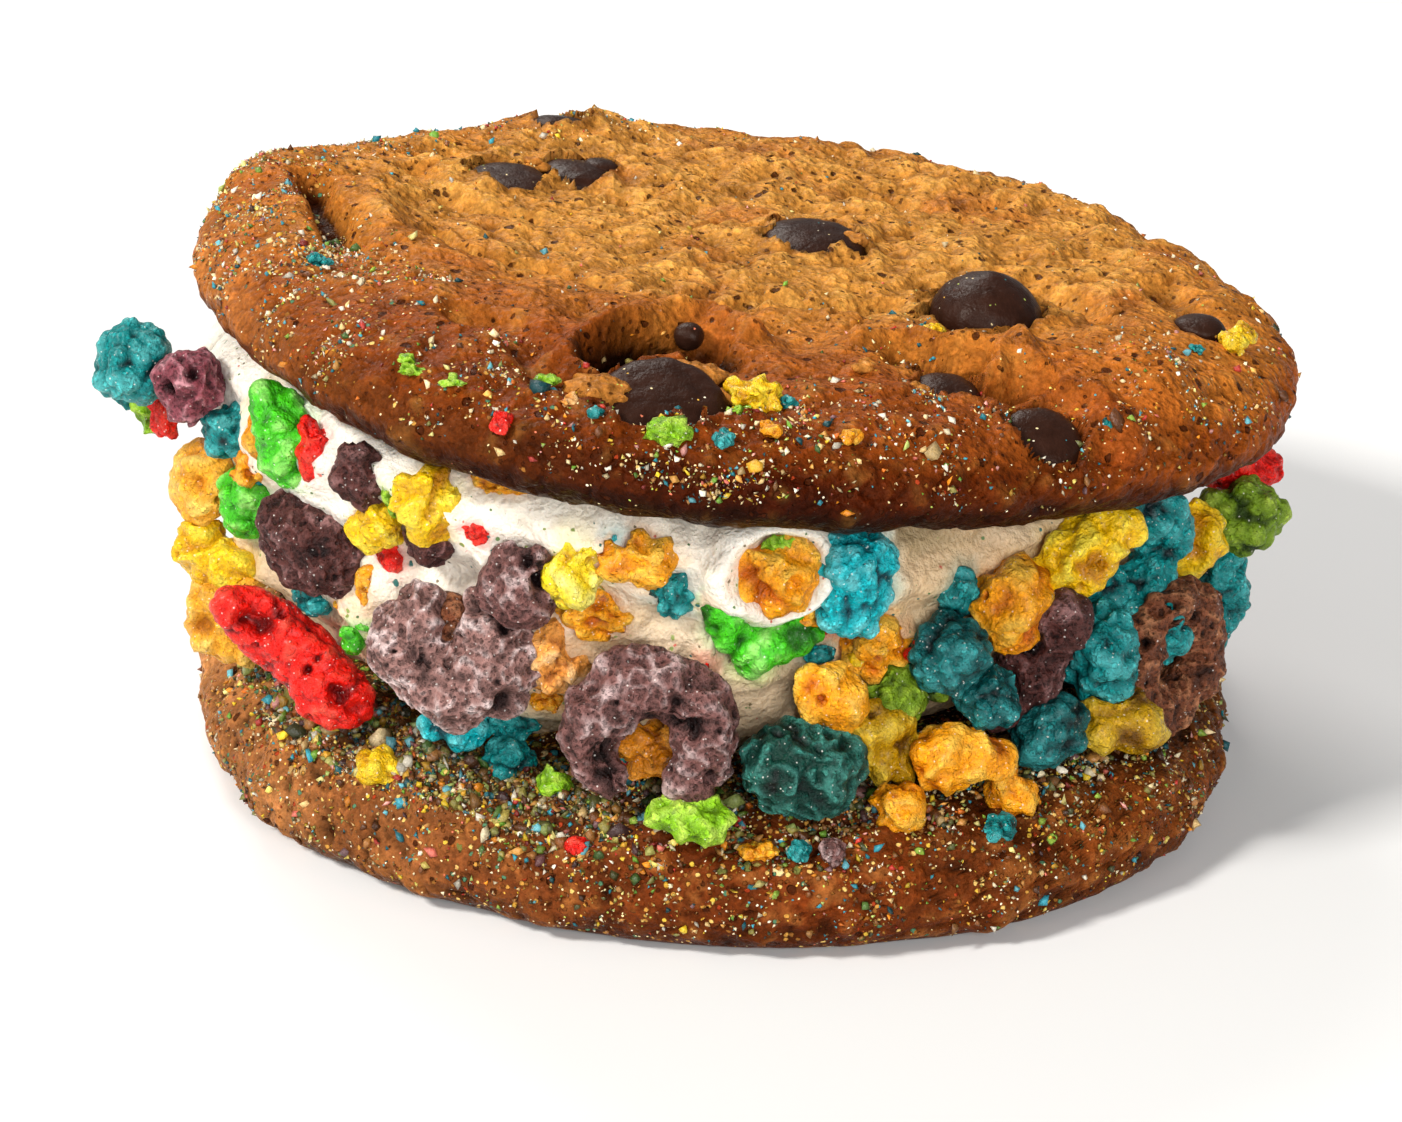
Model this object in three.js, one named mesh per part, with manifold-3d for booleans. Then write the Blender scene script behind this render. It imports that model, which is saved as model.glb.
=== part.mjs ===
// A cookie ice cream sandwich: two chocolate chip cookies with a slab of vanilla ice cream between them,
// whose side is crusted with broken cereal loops. The lower cookie lies flat and the upper one leans.
// Millimetres, +Z up. The origin is the middle of the lower cookie's underside, and -Y is the front.
import * as THREE from 'three';
import { ImprovedNoise } from 'three/addons/math/ImprovedNoise.js';
import { mergeVertices } from 'three/addons/utils/BufferGeometryUtils.js';
import Module from 'manifold-3d';

const wasm = await Module();
wasm.setup();
const noise = new ImprovedNoise();
const rad = THREE.MathUtils.degToRad;
const { clamp, smoothstep } = THREE.MathUtils;

// ---------------------------------------------------------------- driving dimensions
const COOKIE_SEGMENTS = 48; // round a cookie
const CREAM_SEGMENTS = 44; // round the ice cream
const GAP = 0.3; // air between neighbouring solids
const SMOOTHING = 0.12; // the cuts leave no edge that stands out by less
const SEED = 20;

// A cookie: `waves` are the uneven outline's [cycles, cosine share, sine share] of the radius, `shoulder`
// and `heel` are the widths of the rounded upper and lower edges, and `belly` is the height where it is
// widest. The heel is up to `heelMore` wider towards `heelToward`, in degrees from +X. Its face has a ring of
// points at each share of `face`, and it is flat where it is `covered`, out to that radius. `hills` are the
// swellings and hollows of the face: [x, y, half width along x, along y, height].
const LOWER = {
  radius: 46, thickness: 10.5, shoulder: 10, heel: 4.5, heelMore: 0, heelToward: 0, belly: 4.2, covered: 34,
  face: [0.5, 0.82, 0.92, 1],
  waves: [[1, 0.008, 0], [2, 0.014, -0.017], [3, -0.022, 0.018], [4, -0.02, 0], [7, 0.003, 0.004]],
  hills: [
    [-28, -32, 9, 5, 0.7], [6, -41, 12, 4, 0.6], [30, -28, 8, 6, 0.5], [-41, -6, 5, 9, -0.6],
    [36, 20, 8, 8, 0.7], [-20, 38, 11, 5, 0.6], [14, 40, 8, 5, -0.6], [-38, 20, 6, 8, 0.5],
  ],
};
const UPPER = {
  radius: 46.9, thickness: 10, shoulder: 11, heel: 5, heelMore: 6, heelToward: -130, belly: 4.2, covered: 0,
  face: [0.17, 0.35, 0.52, 0.68, 0.84, 1],
  waves: [[2, 0.007, 0.011], [3, 0.003, 0.011], [4, 0.008, -0.015], [7, -0.004, 0.003]],
  hills: [
    [-18, 34, 7, 4.5, 1], [-44, 13, 5, 8, 2.3], [31, 31, 7, 6, 0.9], // swellings at the back and on the rim
    [-7.5, -36.5, 9.5, 5.5, -2.5], [-8, -27.5, 10, 2.6, 1], // crater at the front, and the lip over it
    [15, -29, 4.5, 3.4, -1.5], [22.4, -33, 4.2, 4.6, -2], // two small craters beside it
    [13, -19, 6, 3, 1.1], [22.5, -22, 6, 3.5, 1.1], [9, -28, 3, 5, 0.8], // fold that winds past them
    [31, -26, 5, 6, 0.9], [-29, -17, 7, 4, -0.8], [-19, -26, 6, 3.5, -0.6], // right ridge, left valley
    [-34, -8, 3.5, 6, -1.5], [-24, -11, 7, 5, 0.7], [-27, 4, 7, 5, -0.6], // crease at the left
    [10, -11, 8, 4, -0.8], [18, 12, 8, 6, 0.5], [-6, 22, 8, 5, 0.6], [26, 20, 7, 7, -0.6],
    [39, -5, 4, 4, -1],
  ],
};
const COVER_FADE = 4; // stretch over which a covered face takes up its relief
const RELIEF_FADE = 0.7; // power of the slope's cosine by which relief dies away over the rounded edge
const SHOULDER_TURNS = [22, 42, 62, 90]; // degrees round the upper edge where a ring of points lies
const HEEL_TURNS = [50, 0]; // and round the lower edge
const UPPER_MIDDLE = new THREE.Vector3(2.4, 0.8, 39.2); // of the upper cookie's mid-plane
const UPPER_LEAN = { toRight: 6.5, toBack: 1.7 }; // degrees that its right edge and its back edge dip

const DISH = { depth: 1, from: 0.4, to: 0.78 }; // sunken middle of the upper cookie, by share of its radius

// Chocolate chips in the upper cookie: place on its face, width, height, how far it stands out, lean to the
// front. Most have melted flat, and a `kiss` still has its tip.
const CHIPS = [
  { name: 'chip_back_left', at: [-21.6, 16.4], width: 8.6, height: 4, rise: 0.8, lean: 5 },
  { name: 'chip_back', at: [-15.8, 20.6], width: 7.8, height: 4, rise: 0.9, lean: 0 },
  { name: 'chip_far_back', at: [-17.7, 34], width: 7, height: 4, rise: 0.4, lean: -6 },
  { name: 'chip_middle', at: [5.6, 7.6], width: 10.4, height: 5.4, rise: 1.7, lean: 6 },
  { name: 'chip_right', at: [19.8, -8.8], width: 9.2, height: 5.6, rise: 2.5, lean: 5, kiss: true },
  { name: 'chip_front', at: [-7.4, -37.4], width: 11.6, height: 4.4, rise: 1.7, lean: 30 },
  { name: 'chip_front_small', at: [15, -28.6], width: 6.4, height: 4, rise: 1.2, lean: 15 },
  { name: 'chip_rim', at: [22.4, -33.6], width: 7.4, height: 4.6, rise: 1.5, lean: 34 },
];
const CHIP_SIDES = 12;
const CHIP_PROFILE = [[0, -1], [0.82, -1], [1, -0.45], [0.97, 0.2], [0.84, 0.6], [0.5, 0.8], [0, 0.86]];
const KISS_PROFILE = [[0, -1], [0.82, -1], [1, -0.45], [0.96, 0.05], [0.78, 0.45], [0.5, 0.78], [0, 1.05]];

// The ice cream: its radius, how far it swells to the left and flattens at front and back, and its side's
// profile as [share of the height, amount added to the radius], from the base up. Its uneven side has
// `CREAM_WAVES` of [cycles, height, turn] and `CREAM_SWELLINGS` of [degrees round, height above the floor,
// half width in degrees, half height, amount].
const CREAM = { radius: 37.4, toLeft: 1.3, flattened: 1.6 };
const CREAM_PROFILE = [
  [0, -9], [0.09, -6.8], [0.19, -2.6], [0.33, -0.2], [0.5, 0.2], [0.62, -0.5], [0.71, 0.6], [0.87, 0.8],
  [0.96, -0.3], [1, -2],
];
const CREAM_WAVES = [[5, 0.5, 20], [9, 0.35, 75], [14, 0.2, 10]];
const CREAM_SWELLINGS = [
  [-32, 33.5, 26, 2.8, 1.5], [-88, 34, 20, 5, 3], [-82, 25, 12, 4, 1.6], [5, 30.5, 9, 4.5, 1.3],
  [21, 27, 5, 5, 0.9], [-56, 31, 7, 3, 0.8], [-30, 16, 9, 2.5, 0.8], [110, 26, 14, 3, 1],
  [165, 30, 18, 3, 1.1], [215, 22, 12, 4, 0.9], [250, 33, 14, 3, 1],
];

const COLOURS = {
  purple: 0x6b4a4f, brown: 0x6f4a3c, teal: 0x1d7f8c, blue: 0x1fa0be, green: 0x63b33a, red: 0xdb3a2c,
  orange: 0xf09a1e, yellow: 0xf0c81c, cookie: 0x9a5f2d, cream: 0xf2ead8, chocolate: 0x33211b,
};

// Cereal on the front and sides. A ring or arc has the mean radius `loop` and the tube radius `tube`, and
// an arc runs over `span`, in degrees from its right-hand side up. A bar is an arc seen edge on, whose ends
// bend out. A puff has three half widths: across, out and up. `at` is [degrees round from the front towards
// +X, distance from the middle, height]. `turn` is [tip, roll, swing]: the degrees that its top tips out,
// that its top rolls to the right, and that it turns further towards +X than straight out.
const puff = (name, half, at, turn) => ({ name, form: 'puff', half, at, turn });
const ring = (name, loop, tube, at, turn) => ({ name, form: 'ring', loop, tube, at, turn });
const arc = (name, loop, tube, span, at, turn) => ({ name, form: 'arc', loop, tube, span, at, turn });
const bar = (name, loop, tube, span, at, turn) => ({ name, form: 'bar', loop, tube, span, at, turn });
const FRONT_CEREAL = [
  arc('purple_ring_front', 4.5, 2.9, [-50, 238], [-7.5, 41.6, 17.9], [-8, 0, 0]),
  bar('red_bar_left', 11, 2.8, [-37, 37], [-56, 42, 17.4], [0, -50, 42]),
  puff('blue_puff_front', [3.4, 3, 4.3], [15.5, 38.4, 29.6], [0, 8, 0]),
  puff('orange_puff_front', [3.3, 2.3, 3.3], [6.1, 38.4, 30.3], [0, 0, 0]),
  arc('green_arc_front', 4, 1.6, [150, 325], [5.9, 37.6, 28], [5, 0, 0]),
  arc('purple_arc_left', 3.8, 3.2, [128, 420], [-31.8, 39.8, 22.9], [-14, 0, 20]),
  puff('purple_puff_front', [2.9, 2.7, 4.2], [-24, 38.6, 28.2], [0, 10, 0]),
  puff('purple_puff_upper_left', [5.4, 3.7, 4.4], [-54.6, 40.2, 27], [0, 25, 25]),
  bar('green_bar_upper_left', 12, 2.6, [-17, 17], [-58, 41.4, 35.6], [0, -31, 40]),
  puff('green_puff_left', [3, 2.8, 3.4], [-71.3, 41.6, 26.8], [0, 10, 20]),
  arc('yellow_arc_left', 2.5, 2.5, [150, 350], [-76, 43.4, 21.4], [0, 0, 40]),
  puff('orange_puff_left', [3.1, 3.2, 3.6], [-79, 44, 26.8], [0, 0, 40]),
  arc('orange_arc_left', 2.9, 2.6, [70, 300], [-73.5, 42.4, 15.4], [0, 0, 50]),
  puff('purple_puff_far_left', [2.9, 2.9, 3], [-74.5, 45.6, 36.7], [0, 0, 60]),
  puff('teal_puff_far_left', [3.5, 3.1, 3.4], [-80.4, 49.7, 37], [0, 0, 80]),
  puff('teal_puff_front', [5.2, 3.4, 3.8], [9.2, 41, 15], [0, 8, 0]),
  puff('orange_puff_middle', [2.5, 2.1, 3], [11.9, 39, 20.2], [0, -20, 0]),
  puff('orange_puff_inside', [3.2, 2.2, 2.5], [-6, 38, 14.8], [0, 0, 0]),
  puff('orange_puff_horn', [3.6, 2.6, 3.8], [36.2, 38.9, 25.1], [0, -20, -10]),
  puff('teal_puff_middle', [3.5, 3, 2.9], [27.5, 39.6, 22.3], [0, 0, -10]),
  puff('teal_puff_lower', [3, 2.7, 2.7], [32.4, 40.2, 18.6], [0, 0, -10]),
  puff('green_puff_leaf', [4.3, 1.9, 2.2], [22.2, 37.8, 18.9], [0, 0, 0]),
  puff('yellow_puff_low', [2.9, 2.5, 3.9], [19.2, 38.8, 15.6], [0, -35, 0]),
  puff('orange_puff_low', [4, 2.5, 2.5], [27.5, 41.2, 13.6], [0, 0, -10]),
  puff('yellow_puff_right', [5.6, 2.8, 2.9], [46.2, 40, 28], [0, -27, -20]),
  bar('purple_bar_right', 12, 2.7, [-27, 27], [39.6, 39.2, 19.6], [0, 35, -25]),
  puff('teal_puff_right', [3, 2.9, 4.8], [47.6, 42, 19.1], [0, -14, -20]),
  puff('teal_puff_side', [2.8, 2.8, 3.2], [57.5, 42, 19.2], [0, 0, -30]),
  ring('teal_ring_right', 3.8, 2.2, [57, 40, 26], [0, 0, -25]),
  puff('teal_puff_low_right', [3, 2.8, 3.1], [40.6, 41.4, 14.1], [0, 0, 0]),
  puff('yellow_puff_low_right', [3.4, 2.7, 2.9], [48.4, 43.2, 13.8], [0, 15, -20]),
  ring('brown_ring_right', 4.6, 2.3, [58.6, 43.3, 16.3], [0, 10, -12]),
  puff('teal_puff_far_right', [3.1, 3.1, 5.6], [79, 43.3, 15.7], [0, 0, -60]),
  puff('yellow_puff_far_right', [3, 2.8, 3.6], [71, 42, 23.4], [0, 0, -40]),
  puff('green_puff_far_right', [3.6, 3.5, 3.3], [80, 45.8, 23.2], [0, 0, -60]),
  puff('red_puff_far_right', [4, 3, 2.3], [87, 45, 25.6], [0, 0, -70]),
  puff('green_puff_low', [3.5, 2.3, 1.6], [-3.1, 44, 12.3], [12, 8, 0]),
  puff('blue_puff_low_left', [3.1, 2.1, 2], [-36.4, 36.6, 13.3], [0, 0, 10]),
];

// Cereal round the back, laid by rule in two tiers from `from` to `to` degrees round. The upper tier stands
// `rise` higher where the upper cookie does. Sizes are drawn between two limits, and turns up to `turn`
// either way.
const BACK_CEREAL = {
  count: 11, from: 98, to: 266, tiers: [17, 25], rise: 5, heightPlay: 1,
  colours: ['purple', 'teal', 'orange', 'green', 'red', 'yellow'], forms: ['arc', 'puff', 'ring', 'puff'],
  loop: [3.4, 4.6], tube: [2, 2.5], span: [170, 270], half: [[3.2, 4.6], [2.5, 3], [3, 4]],
  loopDistance: 40, puffDistance: 39.2, turn: [12, 40, 30],
};

// Cereal's craggy surface: how often the coarse and the fine crags come, and how much of its size they
// take.
const CRAGS = { coarse: 0.42, fine: 0.95, fineShare: 0.5, ofLoop: 0.3, ofPuff: 0.28 };
const LOOP_SIDES = 6; // round a loop's tube
const LOOP_STEP = 2.36; // along a loop, between rings of points
const LOOP_FEWEST_STEPS = 5;
const LOOP_END = { size: 0.62, over: 0.25, out: 0.45 }; // a broken end thins over that share, and bulges out
const FINE_PUFF_FROM = 2.6; // a scrap wider than this takes 80 faces and not 20

// Scraps of cereal fused to the ice cream: [degrees round, height, half width, half height].
const SCRAP_SEED = 60;
const SCRAP_PROUD = 0.25; // share of the half width by which a scrap's middle stands out of the ice cream
const SCRAP_CLEAR = { below: 2, above: 0.6 }; // least distance from the cookies
const FRONT_SCRAPS = [
  [-17, 30.6, 2, 2.9], [-9.7, 31.9, 3.3, 2], [-20.4, 22.1, 2.2, 2.8], [-5.7, 29.1, 1.6, 2],
  [14, 24.8, 1.5, 1.4], [30.7, 26.4, 1.7, 2], [20, 22.8, 2.6, 2], [-35.2, 35.1, 2.5, 2.7],
  [-43.9, 30.5, 2.5, 1.8], [-45.2, 36.3, 2.1, 2.7], [-36.1, 30.6, 2.4, 1.7], [-53.2, 37.5, 1.8, 2.3],
  [-57, 21.9, 2.4, 1.4], [-48.1, 20.5, 1.3, 1.4], [-15.8, 26.1, 2.9, 1.7], [-73.3, 32.6, 2, 2.3],
  [69, 26.6, 2.4, 2], [-22.8, 17.6, 1.5, 1.1], [-44.7, 27.5, 1.4, 1.3],
];
const BACK_SCRAPS = { count: 7, from: 96, to: 270, heights: [16, 31], half: [1.5, 2.5] };

// Scraps of cereal fused to the cookies: [x, y, half width, half height].
const CRUMB_SEED = 200;
const CRUMB_PROUD = 0.3; // share of the half height by which a scrap's middle stands out of the cookie
const LOWER_SCRAPS = [
  [14, -39.2, 1.9, 2], [23.4, -35.8, 1.9, 2.1], [-17, -31, 2, 1.8], [-27.8, -30, 1.8, 1.5],
  [22.3, -39.3, 1.7, 1.2], [6.1, -43, 1.2, 1], [2.9, -43.2, 1.4, 1], [8.8, -43.3, 1.2, 1.5],
  [-13.5, -35.2, 1.5, 1.8], [-11.5, -40.6, 1.2, 1],
];
const UPPER_SCRAPS = [
  [-0.3, -36.8, 2.1, 1.4], [-6.8, -44.2, 1.8, 1], [-2.6, -45, 1.1, 1], [40.7, -10.5, 1.3, 1.3],
  [-26.7, -36, 1.2, 0.8], [-19.4, -42.5, 1, 0.9],
];
// Crumbs fused to the cookies' rims, drawn between two distances; a share of them, `front`, lies at the
// front.
const LOWER_CRUMBS = { count: 9, distance: [40, 45.8], half: [0.9, 1.5], front: 0.62 };
const UPPER_CRUMBS = { count: 6, distance: [35, 45], half: [0.9, 1.4], front: 0.7 };
const CRUMB_FRONT = [-160, -20]; // degrees from +X
const CRUMB_BACK = [-20, 200];
const CRUMB_HEIGHT = [0.7, 1];

// ---------------------------------------------------------------- chance, outlines and faces
/** A repeatable stream of numbers from 0 to 1. */
function randomStream(seed) {
  let state = seed * 2654435761;
  return () => {
    state = (Math.imul(state ^ (state >>> 15), 2246822519) + 3266489917) | 0;
    return ((state ^ (state >>> 13)) >>> 0) / 4294967296;
  };
}

/** Radius of a cookie's uneven outline, where `angle` is in radians from +X. */
function outline(cookie, angle) {
  const share = cookie.waves.reduce(
    (sum, [cycles, c, s]) => sum + c * Math.cos(cycles * angle) + s * Math.sin(cycles * angle), 1);
  return cookie.radius * share;
}

/** Width of the rounded lower edge, where `angle` is in radians from +X. */
function heelWidth(cookie, angle) {
  return cookie.heel + cookie.heelMore * (1 + Math.cos(angle - rad(cookie.heelToward))) / 2;
}

/** Height that the hills and hollows add over a place. */
function relief(hills, x, y) {
  return hills.reduce((sum, [hx, hy, wx, wy, height]) =>
    sum + height * Math.exp(-(((x - hx) / wx) ** 2) - ((y - hy) / wy) ** 2), 0);
}

/** Depth of the sunken middle; a cookie whose middle is covered stays flat. */
function dish(cookie, share) {
  return cookie.covered ? 0 : DISH.depth * (1 - smoothstep(share, DISH.from, DISH.to));
}

/** Height of a cookie's upper face over a place, in the cookie's frame. */
function faceHeight(cookie, x, y) {
  const edge = outline(cookie, Math.atan2(y, x));
  const r = Math.hypot(x, y);
  const turn = Math.asin(clamp((r - edge + cookie.shoulder) / cookie.shoulder, 0, 1));
  const lift = (relief(cookie.hills, x, y) - dish(cookie, r / edge)) * Math.cos(turn) ** RELIEF_FADE;
  return cookie.belly + Math.cos(turn) * (cookie.thickness - cookie.belly) + lift;
}

// ---------------------------------------------------------------- bodies made of rings of points
/** A closed body from rings of points between two poles, or round a closed loop of rings without poles. */
function ringBody(rings, first, last) {
  const count = rings[0].length;
  const points = rings.flat();
  const index = [];
  const at = (ring, k) => (ring % rings.length) * count + (k % count);
  const joins = first ? rings.length - 1 : rings.length;
  for (let ring = 0; ring < joins; ring++) {
    for (let k = 0; k < count; k++) {
      const [a, b, c, d] = [at(ring, k), at(ring + 1, k), at(ring + 1, k + 1), at(ring, k + 1)];
      index.push(a, b, c, a, c, d);
    }
  }
  if (first) {
    points.push(first, last);
    for (let k = 0; k < count; k++) {
      index.push(points.length - 2, at(0, k), at(0, k + 1));
      index.push(points.length - 1, at(rings.length - 1, k + 1), at(rings.length - 1, k));
    }
  }
  return new THREE.BufferGeometry().setFromPoints(points).setIndex(index);
}

/** A ring of points round a cookie, at a share of its flat face or `turn` degrees round one of its edges. */
function cookieRing(cookie, share, turn, upper, grow) {
  const rise = upper ? cookie.thickness - cookie.belly : -cookie.belly;
  const [sin, cos] = [Math.sin(rad(turn)), Math.cos(rad(turn))];
  return Array.from({ length: COOKIE_SEGMENTS }, (_, k) => {
    const angle = (k / COOKIE_SEGMENTS) * 2 * Math.PI;
    const radius = outline(cookie, angle);
    const width = upper ? cookie.shoulder : heelWidth(cookie, angle);
    const out = new THREE.Vector2(sin * Math.abs(rise), cos * Math.sign(rise) * width).normalize();
    const r = (radius - width) * share + sin * width;
    const shown = cookie.covered ? smoothstep(r, cookie.covered, cookie.covered + COVER_FADE) : 1;
    const hills = relief(cookie.hills, r * Math.cos(angle), r * Math.sin(angle)) * shown;
    const lift = grow + (upper ? (hills - dish(cookie, r / radius)) * Math.max(cos, 0) ** RELIEF_FADE : 0);
    const reach = r + out.x * lift;
    const height = cookie.belly + cos * rise + out.y * lift;
    return new THREE.Vector3(Math.cos(angle) * reach, Math.sin(angle) * reach, height);
  });
}

/** A cookie with its underside at z = 0, swollen by `grow`. */
function cookieBody(cookie, grow = 0) {
  const rings = [
    ...cookie.face.map((share) => cookieRing(cookie, share, 0, true, grow)),
    ...SHOULDER_TURNS.map((turn) => cookieRing(cookie, 1, turn, true, grow)),
    ...HEEL_TURNS.map((turn) => cookieRing(cookie, 1, turn, false, grow)),
  ];
  const top = rings[0].reduce((sum, point) => sum + point.z, 0) / COOKIE_SEGMENTS;
  return ringBody(rings, new THREE.Vector3(0, 0, top), new THREE.Vector3(0, 0, -grow));
}

/** The upper cookie's frame, whose origin is the middle of its underside. */
function upperFrame() {
  const lean = new THREE.Matrix4().makeRotationY(rad(UPPER_LEAN.toRight))
    .multiply(new THREE.Matrix4().makeRotationX(-rad(UPPER_LEAN.toBack)));
  return new THREE.Matrix4().makeTranslation(UPPER_MIDDLE).multiply(lean)
    .multiply(new THREE.Matrix4().makeTranslation(0, 0, -UPPER.thickness / 2));
}

/** Height of the upper cookie's underside over a place. */
function upperUnderside(x, y) {
  const frame = upperFrame().elements;
  const normal = new THREE.Vector3(frame[8], frame[9], frame[10]);
  return frame[14] - (normal.x * (x - frame[12]) + normal.y * (y - frame[13])) / normal.z;
}

/** Amount that the ice cream's side stands out at a share of its height, read off the profile. */
function creamProfile(share) {
  const k = clamp(CREAM_PROFILE.findIndex(([at]) => at >= share), 1, CREAM_PROFILE.length - 1);
  const [[low, a], [high, b]] = [CREAM_PROFILE[k - 1], CREAM_PROFILE[k]];
  return THREE.MathUtils.mapLinear(share, low, high, a, b);
}

/** The ice cream's radius; `round` is in radians from the front towards +X. */
function creamRadius(round, share) {
  const plan = CREAM.radius - CREAM.toLeft * Math.sin(round) - CREAM.flattened * Math.cos(2 * round);
  const top = upperUnderside(CREAM.radius * Math.sin(round), -CREAM.radius * Math.cos(round));
  const level = THREE.MathUtils.lerp(LOWER.thickness, top, share);
  const waves = CREAM_WAVES.reduce((sum, [cycles, height, turn]) =>
    sum + height * Math.sin(cycles * round + rad(turn) + 3 * share), 0) * Math.sin(Math.PI * share) ** 0.5;
  const swellings = CREAM_SWELLINGS.reduce((sum, [at, height, halfWidth, halfHeight, amount]) => {
    const away = Math.sin((round - rad(at)) / 2) * 2 / rad(halfWidth);
    return sum + amount * Math.exp(-(away ** 2) - ((level - height) / halfHeight) ** 2);
  }, 0);
  return plan + waves + swellings + creamProfile(share);
}

/** The ice cream, between the two cookies, swollen sideways by `grow`. */
function creamBody(grow = 0) {
  const base = LOWER.thickness + GAP;
  const pointAt = (k, share) => {
    const angle = (k / CREAM_SEGMENTS) * 2 * Math.PI;
    const r = creamRadius(angle + Math.PI / 2, share) + grow;
    const [x, y] = [r * Math.cos(angle), r * Math.sin(angle)];
    return new THREE.Vector3(x, y, THREE.MathUtils.lerp(base, upperUnderside(x, y) - GAP, share));
  };
  const rings = CREAM_PROFILE.map(([share]) =>
    Array.from({ length: CREAM_SEGMENTS }, (_, k) => pointAt(k, share))).reverse();
  return ringBody(rings, new THREE.Vector3(0, 0, upperUnderside(0, 0) - GAP), new THREE.Vector3(0, 0, base));
}

/** A chocolate chip round the origin: a low drop with a flat underside. */
function chipBody({ width, height, kiss }, grow = 0) {
  const [r, h] = [width / 2 + grow, height / 2 + grow];
  const points = (kiss ? KISS_PROFILE : CHIP_PROFILE).map(([out, up]) => new THREE.Vector2(out * r, up * h));
  return new THREE.LatheGeometry(points, CHIP_SIDES).rotateX(Math.PI / 2);
}

/** Craggy noise for cereal, between about -1 and 1. */
function crag(point, seed) {
  const coarse = point.clone().multiplyScalar(CRAGS.coarse);
  const fine = point.clone().multiplyScalar(CRAGS.fine);
  return noise.noise(coarse.x + seed * 7.3, coarse.y, coarse.z)
    + CRAGS.fineShare * noise.noise(fine.x, fine.y + seed * 3.1, fine.z);
}

/** A loop of cereal, whole or broken, in the XZ plane. */
function loopBody({ loop, tube, span }, seed, grow = 0) {
  const [from, to] = span ?? [0, 360];
  const steps = Math.max(LOOP_FEWEST_STEPS, Math.round((rad(to - from) * loop) / LOOP_STEP));
  const axis = (angle) => new THREE.Vector3(Math.cos(angle), 0, Math.sin(angle));
  const section = (angle, size) => Array.from({ length: LOOP_SIDES }, (_, k) => {
    const side = (k / LOOP_SIDES) * 2 * Math.PI;
    const out = axis(angle).multiplyScalar(Math.cos(side)).setY(Math.sin(side));
    const middle = axis(angle).multiplyScalar(loop);
    const rough = crag(middle.clone().addScaledVector(out, tube), seed);
    return middle.addScaledVector(out, tube * (1 + CRAGS.ofLoop * rough) * size + grow);
  });
  const sections = Array.from({ length: span ? steps + 1 : steps }, (_, k) => {
    const share = k / steps;
    const whole = span ? Math.min(1, share / LOOP_END.over, (1 - share) / LOOP_END.over) : 1;
    return section(rad(from + (to - from) * share), LOOP_END.size + (1 - LOOP_END.size) * whole);
  });
  if (!span) return ringBody(sections);
  const end = (angle, way) => axis(angle).multiplyScalar(loop)
    .addScaledVector(axis(angle + Math.PI / 2), way * (tube * LOOP_END.out + grow));
  return ringBody(sections, end(rad(from), -1), end(rad(to), 1));
}

/** A broken puff of cereal, of 20 faces or, where it is `fine`, 80. */
function puffBody(half, seed, grow = 0, fine = true) {
  const ball = new THREE.IcosahedronGeometry(1, fine ? 1 : 0);
  const body = mergeVertices(ball.deleteAttribute('normal').deleteAttribute('uv'));
  const place = body.getAttribute('position');
  const point = new THREE.Vector3();
  for (let k = 0; k < place.count; k++) {
    point.fromBufferAttribute(place, k).multiply(new THREE.Vector3(...half));
    point.setLength(point.length() * (1 + CRAGS.ofPuff * crag(point, seed)) + grow);
    place.setXYZ(k, point.x, point.y, point.z);
  }
  return body;
}

function cerealBody(row, seed, grow) {
  if (row.form === 'puff') return puffBody(row.half, seed, grow);
  const body = loopBody(row, seed, grow);
  return row.form === 'bar' ? body.rotateZ(Math.PI / 2).translate(0, -row.loop, 0) : body;
}

// ---------------------------------------------------------------- joining and cutting
/** A geometry, placed by a matrix, as a manifold-3d solid. */
function solidOf(geometry, matrix = new THREE.Matrix4()) {
  const placed = geometry.clone().applyMatrix4(matrix);
  placed.deleteAttribute('normal');
  placed.deleteAttribute('uv');
  const merged = mergeVertices(placed, 1e-4);
  const solid = (triVerts) => new wasm.Manifold(new wasm.Mesh({
    numProp: 3, vertProperties: new Float32Array(merged.attributes.position.array), triVerts }));
  const made = solid(new Uint32Array(merged.index.array));
  return made.volume() > 0 ? made : solid(new Uint32Array(merged.index.array).reverse());
}

/** The largest body of a solid, as a geometry in the frame that `matrix` places. */
function geometryOf(solid, matrix) {
  const largest = solid.simplify(SMOOTHING).decompose()
    .reduce((best, body) => (body.volume() > best.volume() ? body : best));
  const mesh = largest.getMesh();
  const geometry = new THREE.BufferGeometry();
  geometry.setAttribute('position', new THREE.BufferAttribute(new Float32Array(mesh.vertProperties), 3));
  geometry.setIndex(new THREE.BufferAttribute(new Uint32Array(mesh.triVerts), 1));
  geometry.applyMatrix4(matrix.clone().invert());
  geometry.computeVertexNormals();
  return geometry;
}

function boxOf(solid) {
  const { min, max } = solid.boundingBox();
  return new THREE.Box3(new THREE.Vector3(...min), new THREE.Vector3(...max));
}

// ---------------------------------------------------------------- the scene graph
const sandwich = new THREE.Group();
const upper = new THREE.Group();
upper.applyMatrix4(upperFrame());
sandwich.add(upper);
sandwich.updateMatrixWorld(true);

function materialOf(colour, roughness = 0.8) {
  return new THREE.MeshStandardMaterial({ color: COLOURS[colour], roughness, metalness: 0 });
}

/** Adds a mesh, whose solid is known in the sandwich's frame, to the group that carries it. */
function addMesh(name, solid, parent, material) {
  const mesh = new THREE.Mesh(new THREE.BufferGeometry(), material);
  mesh.name = name;
  parent.add(mesh);
  sandwich.updateMatrixWorld(true);
  mesh.geometry = geometryOf(solid, mesh.matrixWorld);
}

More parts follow.
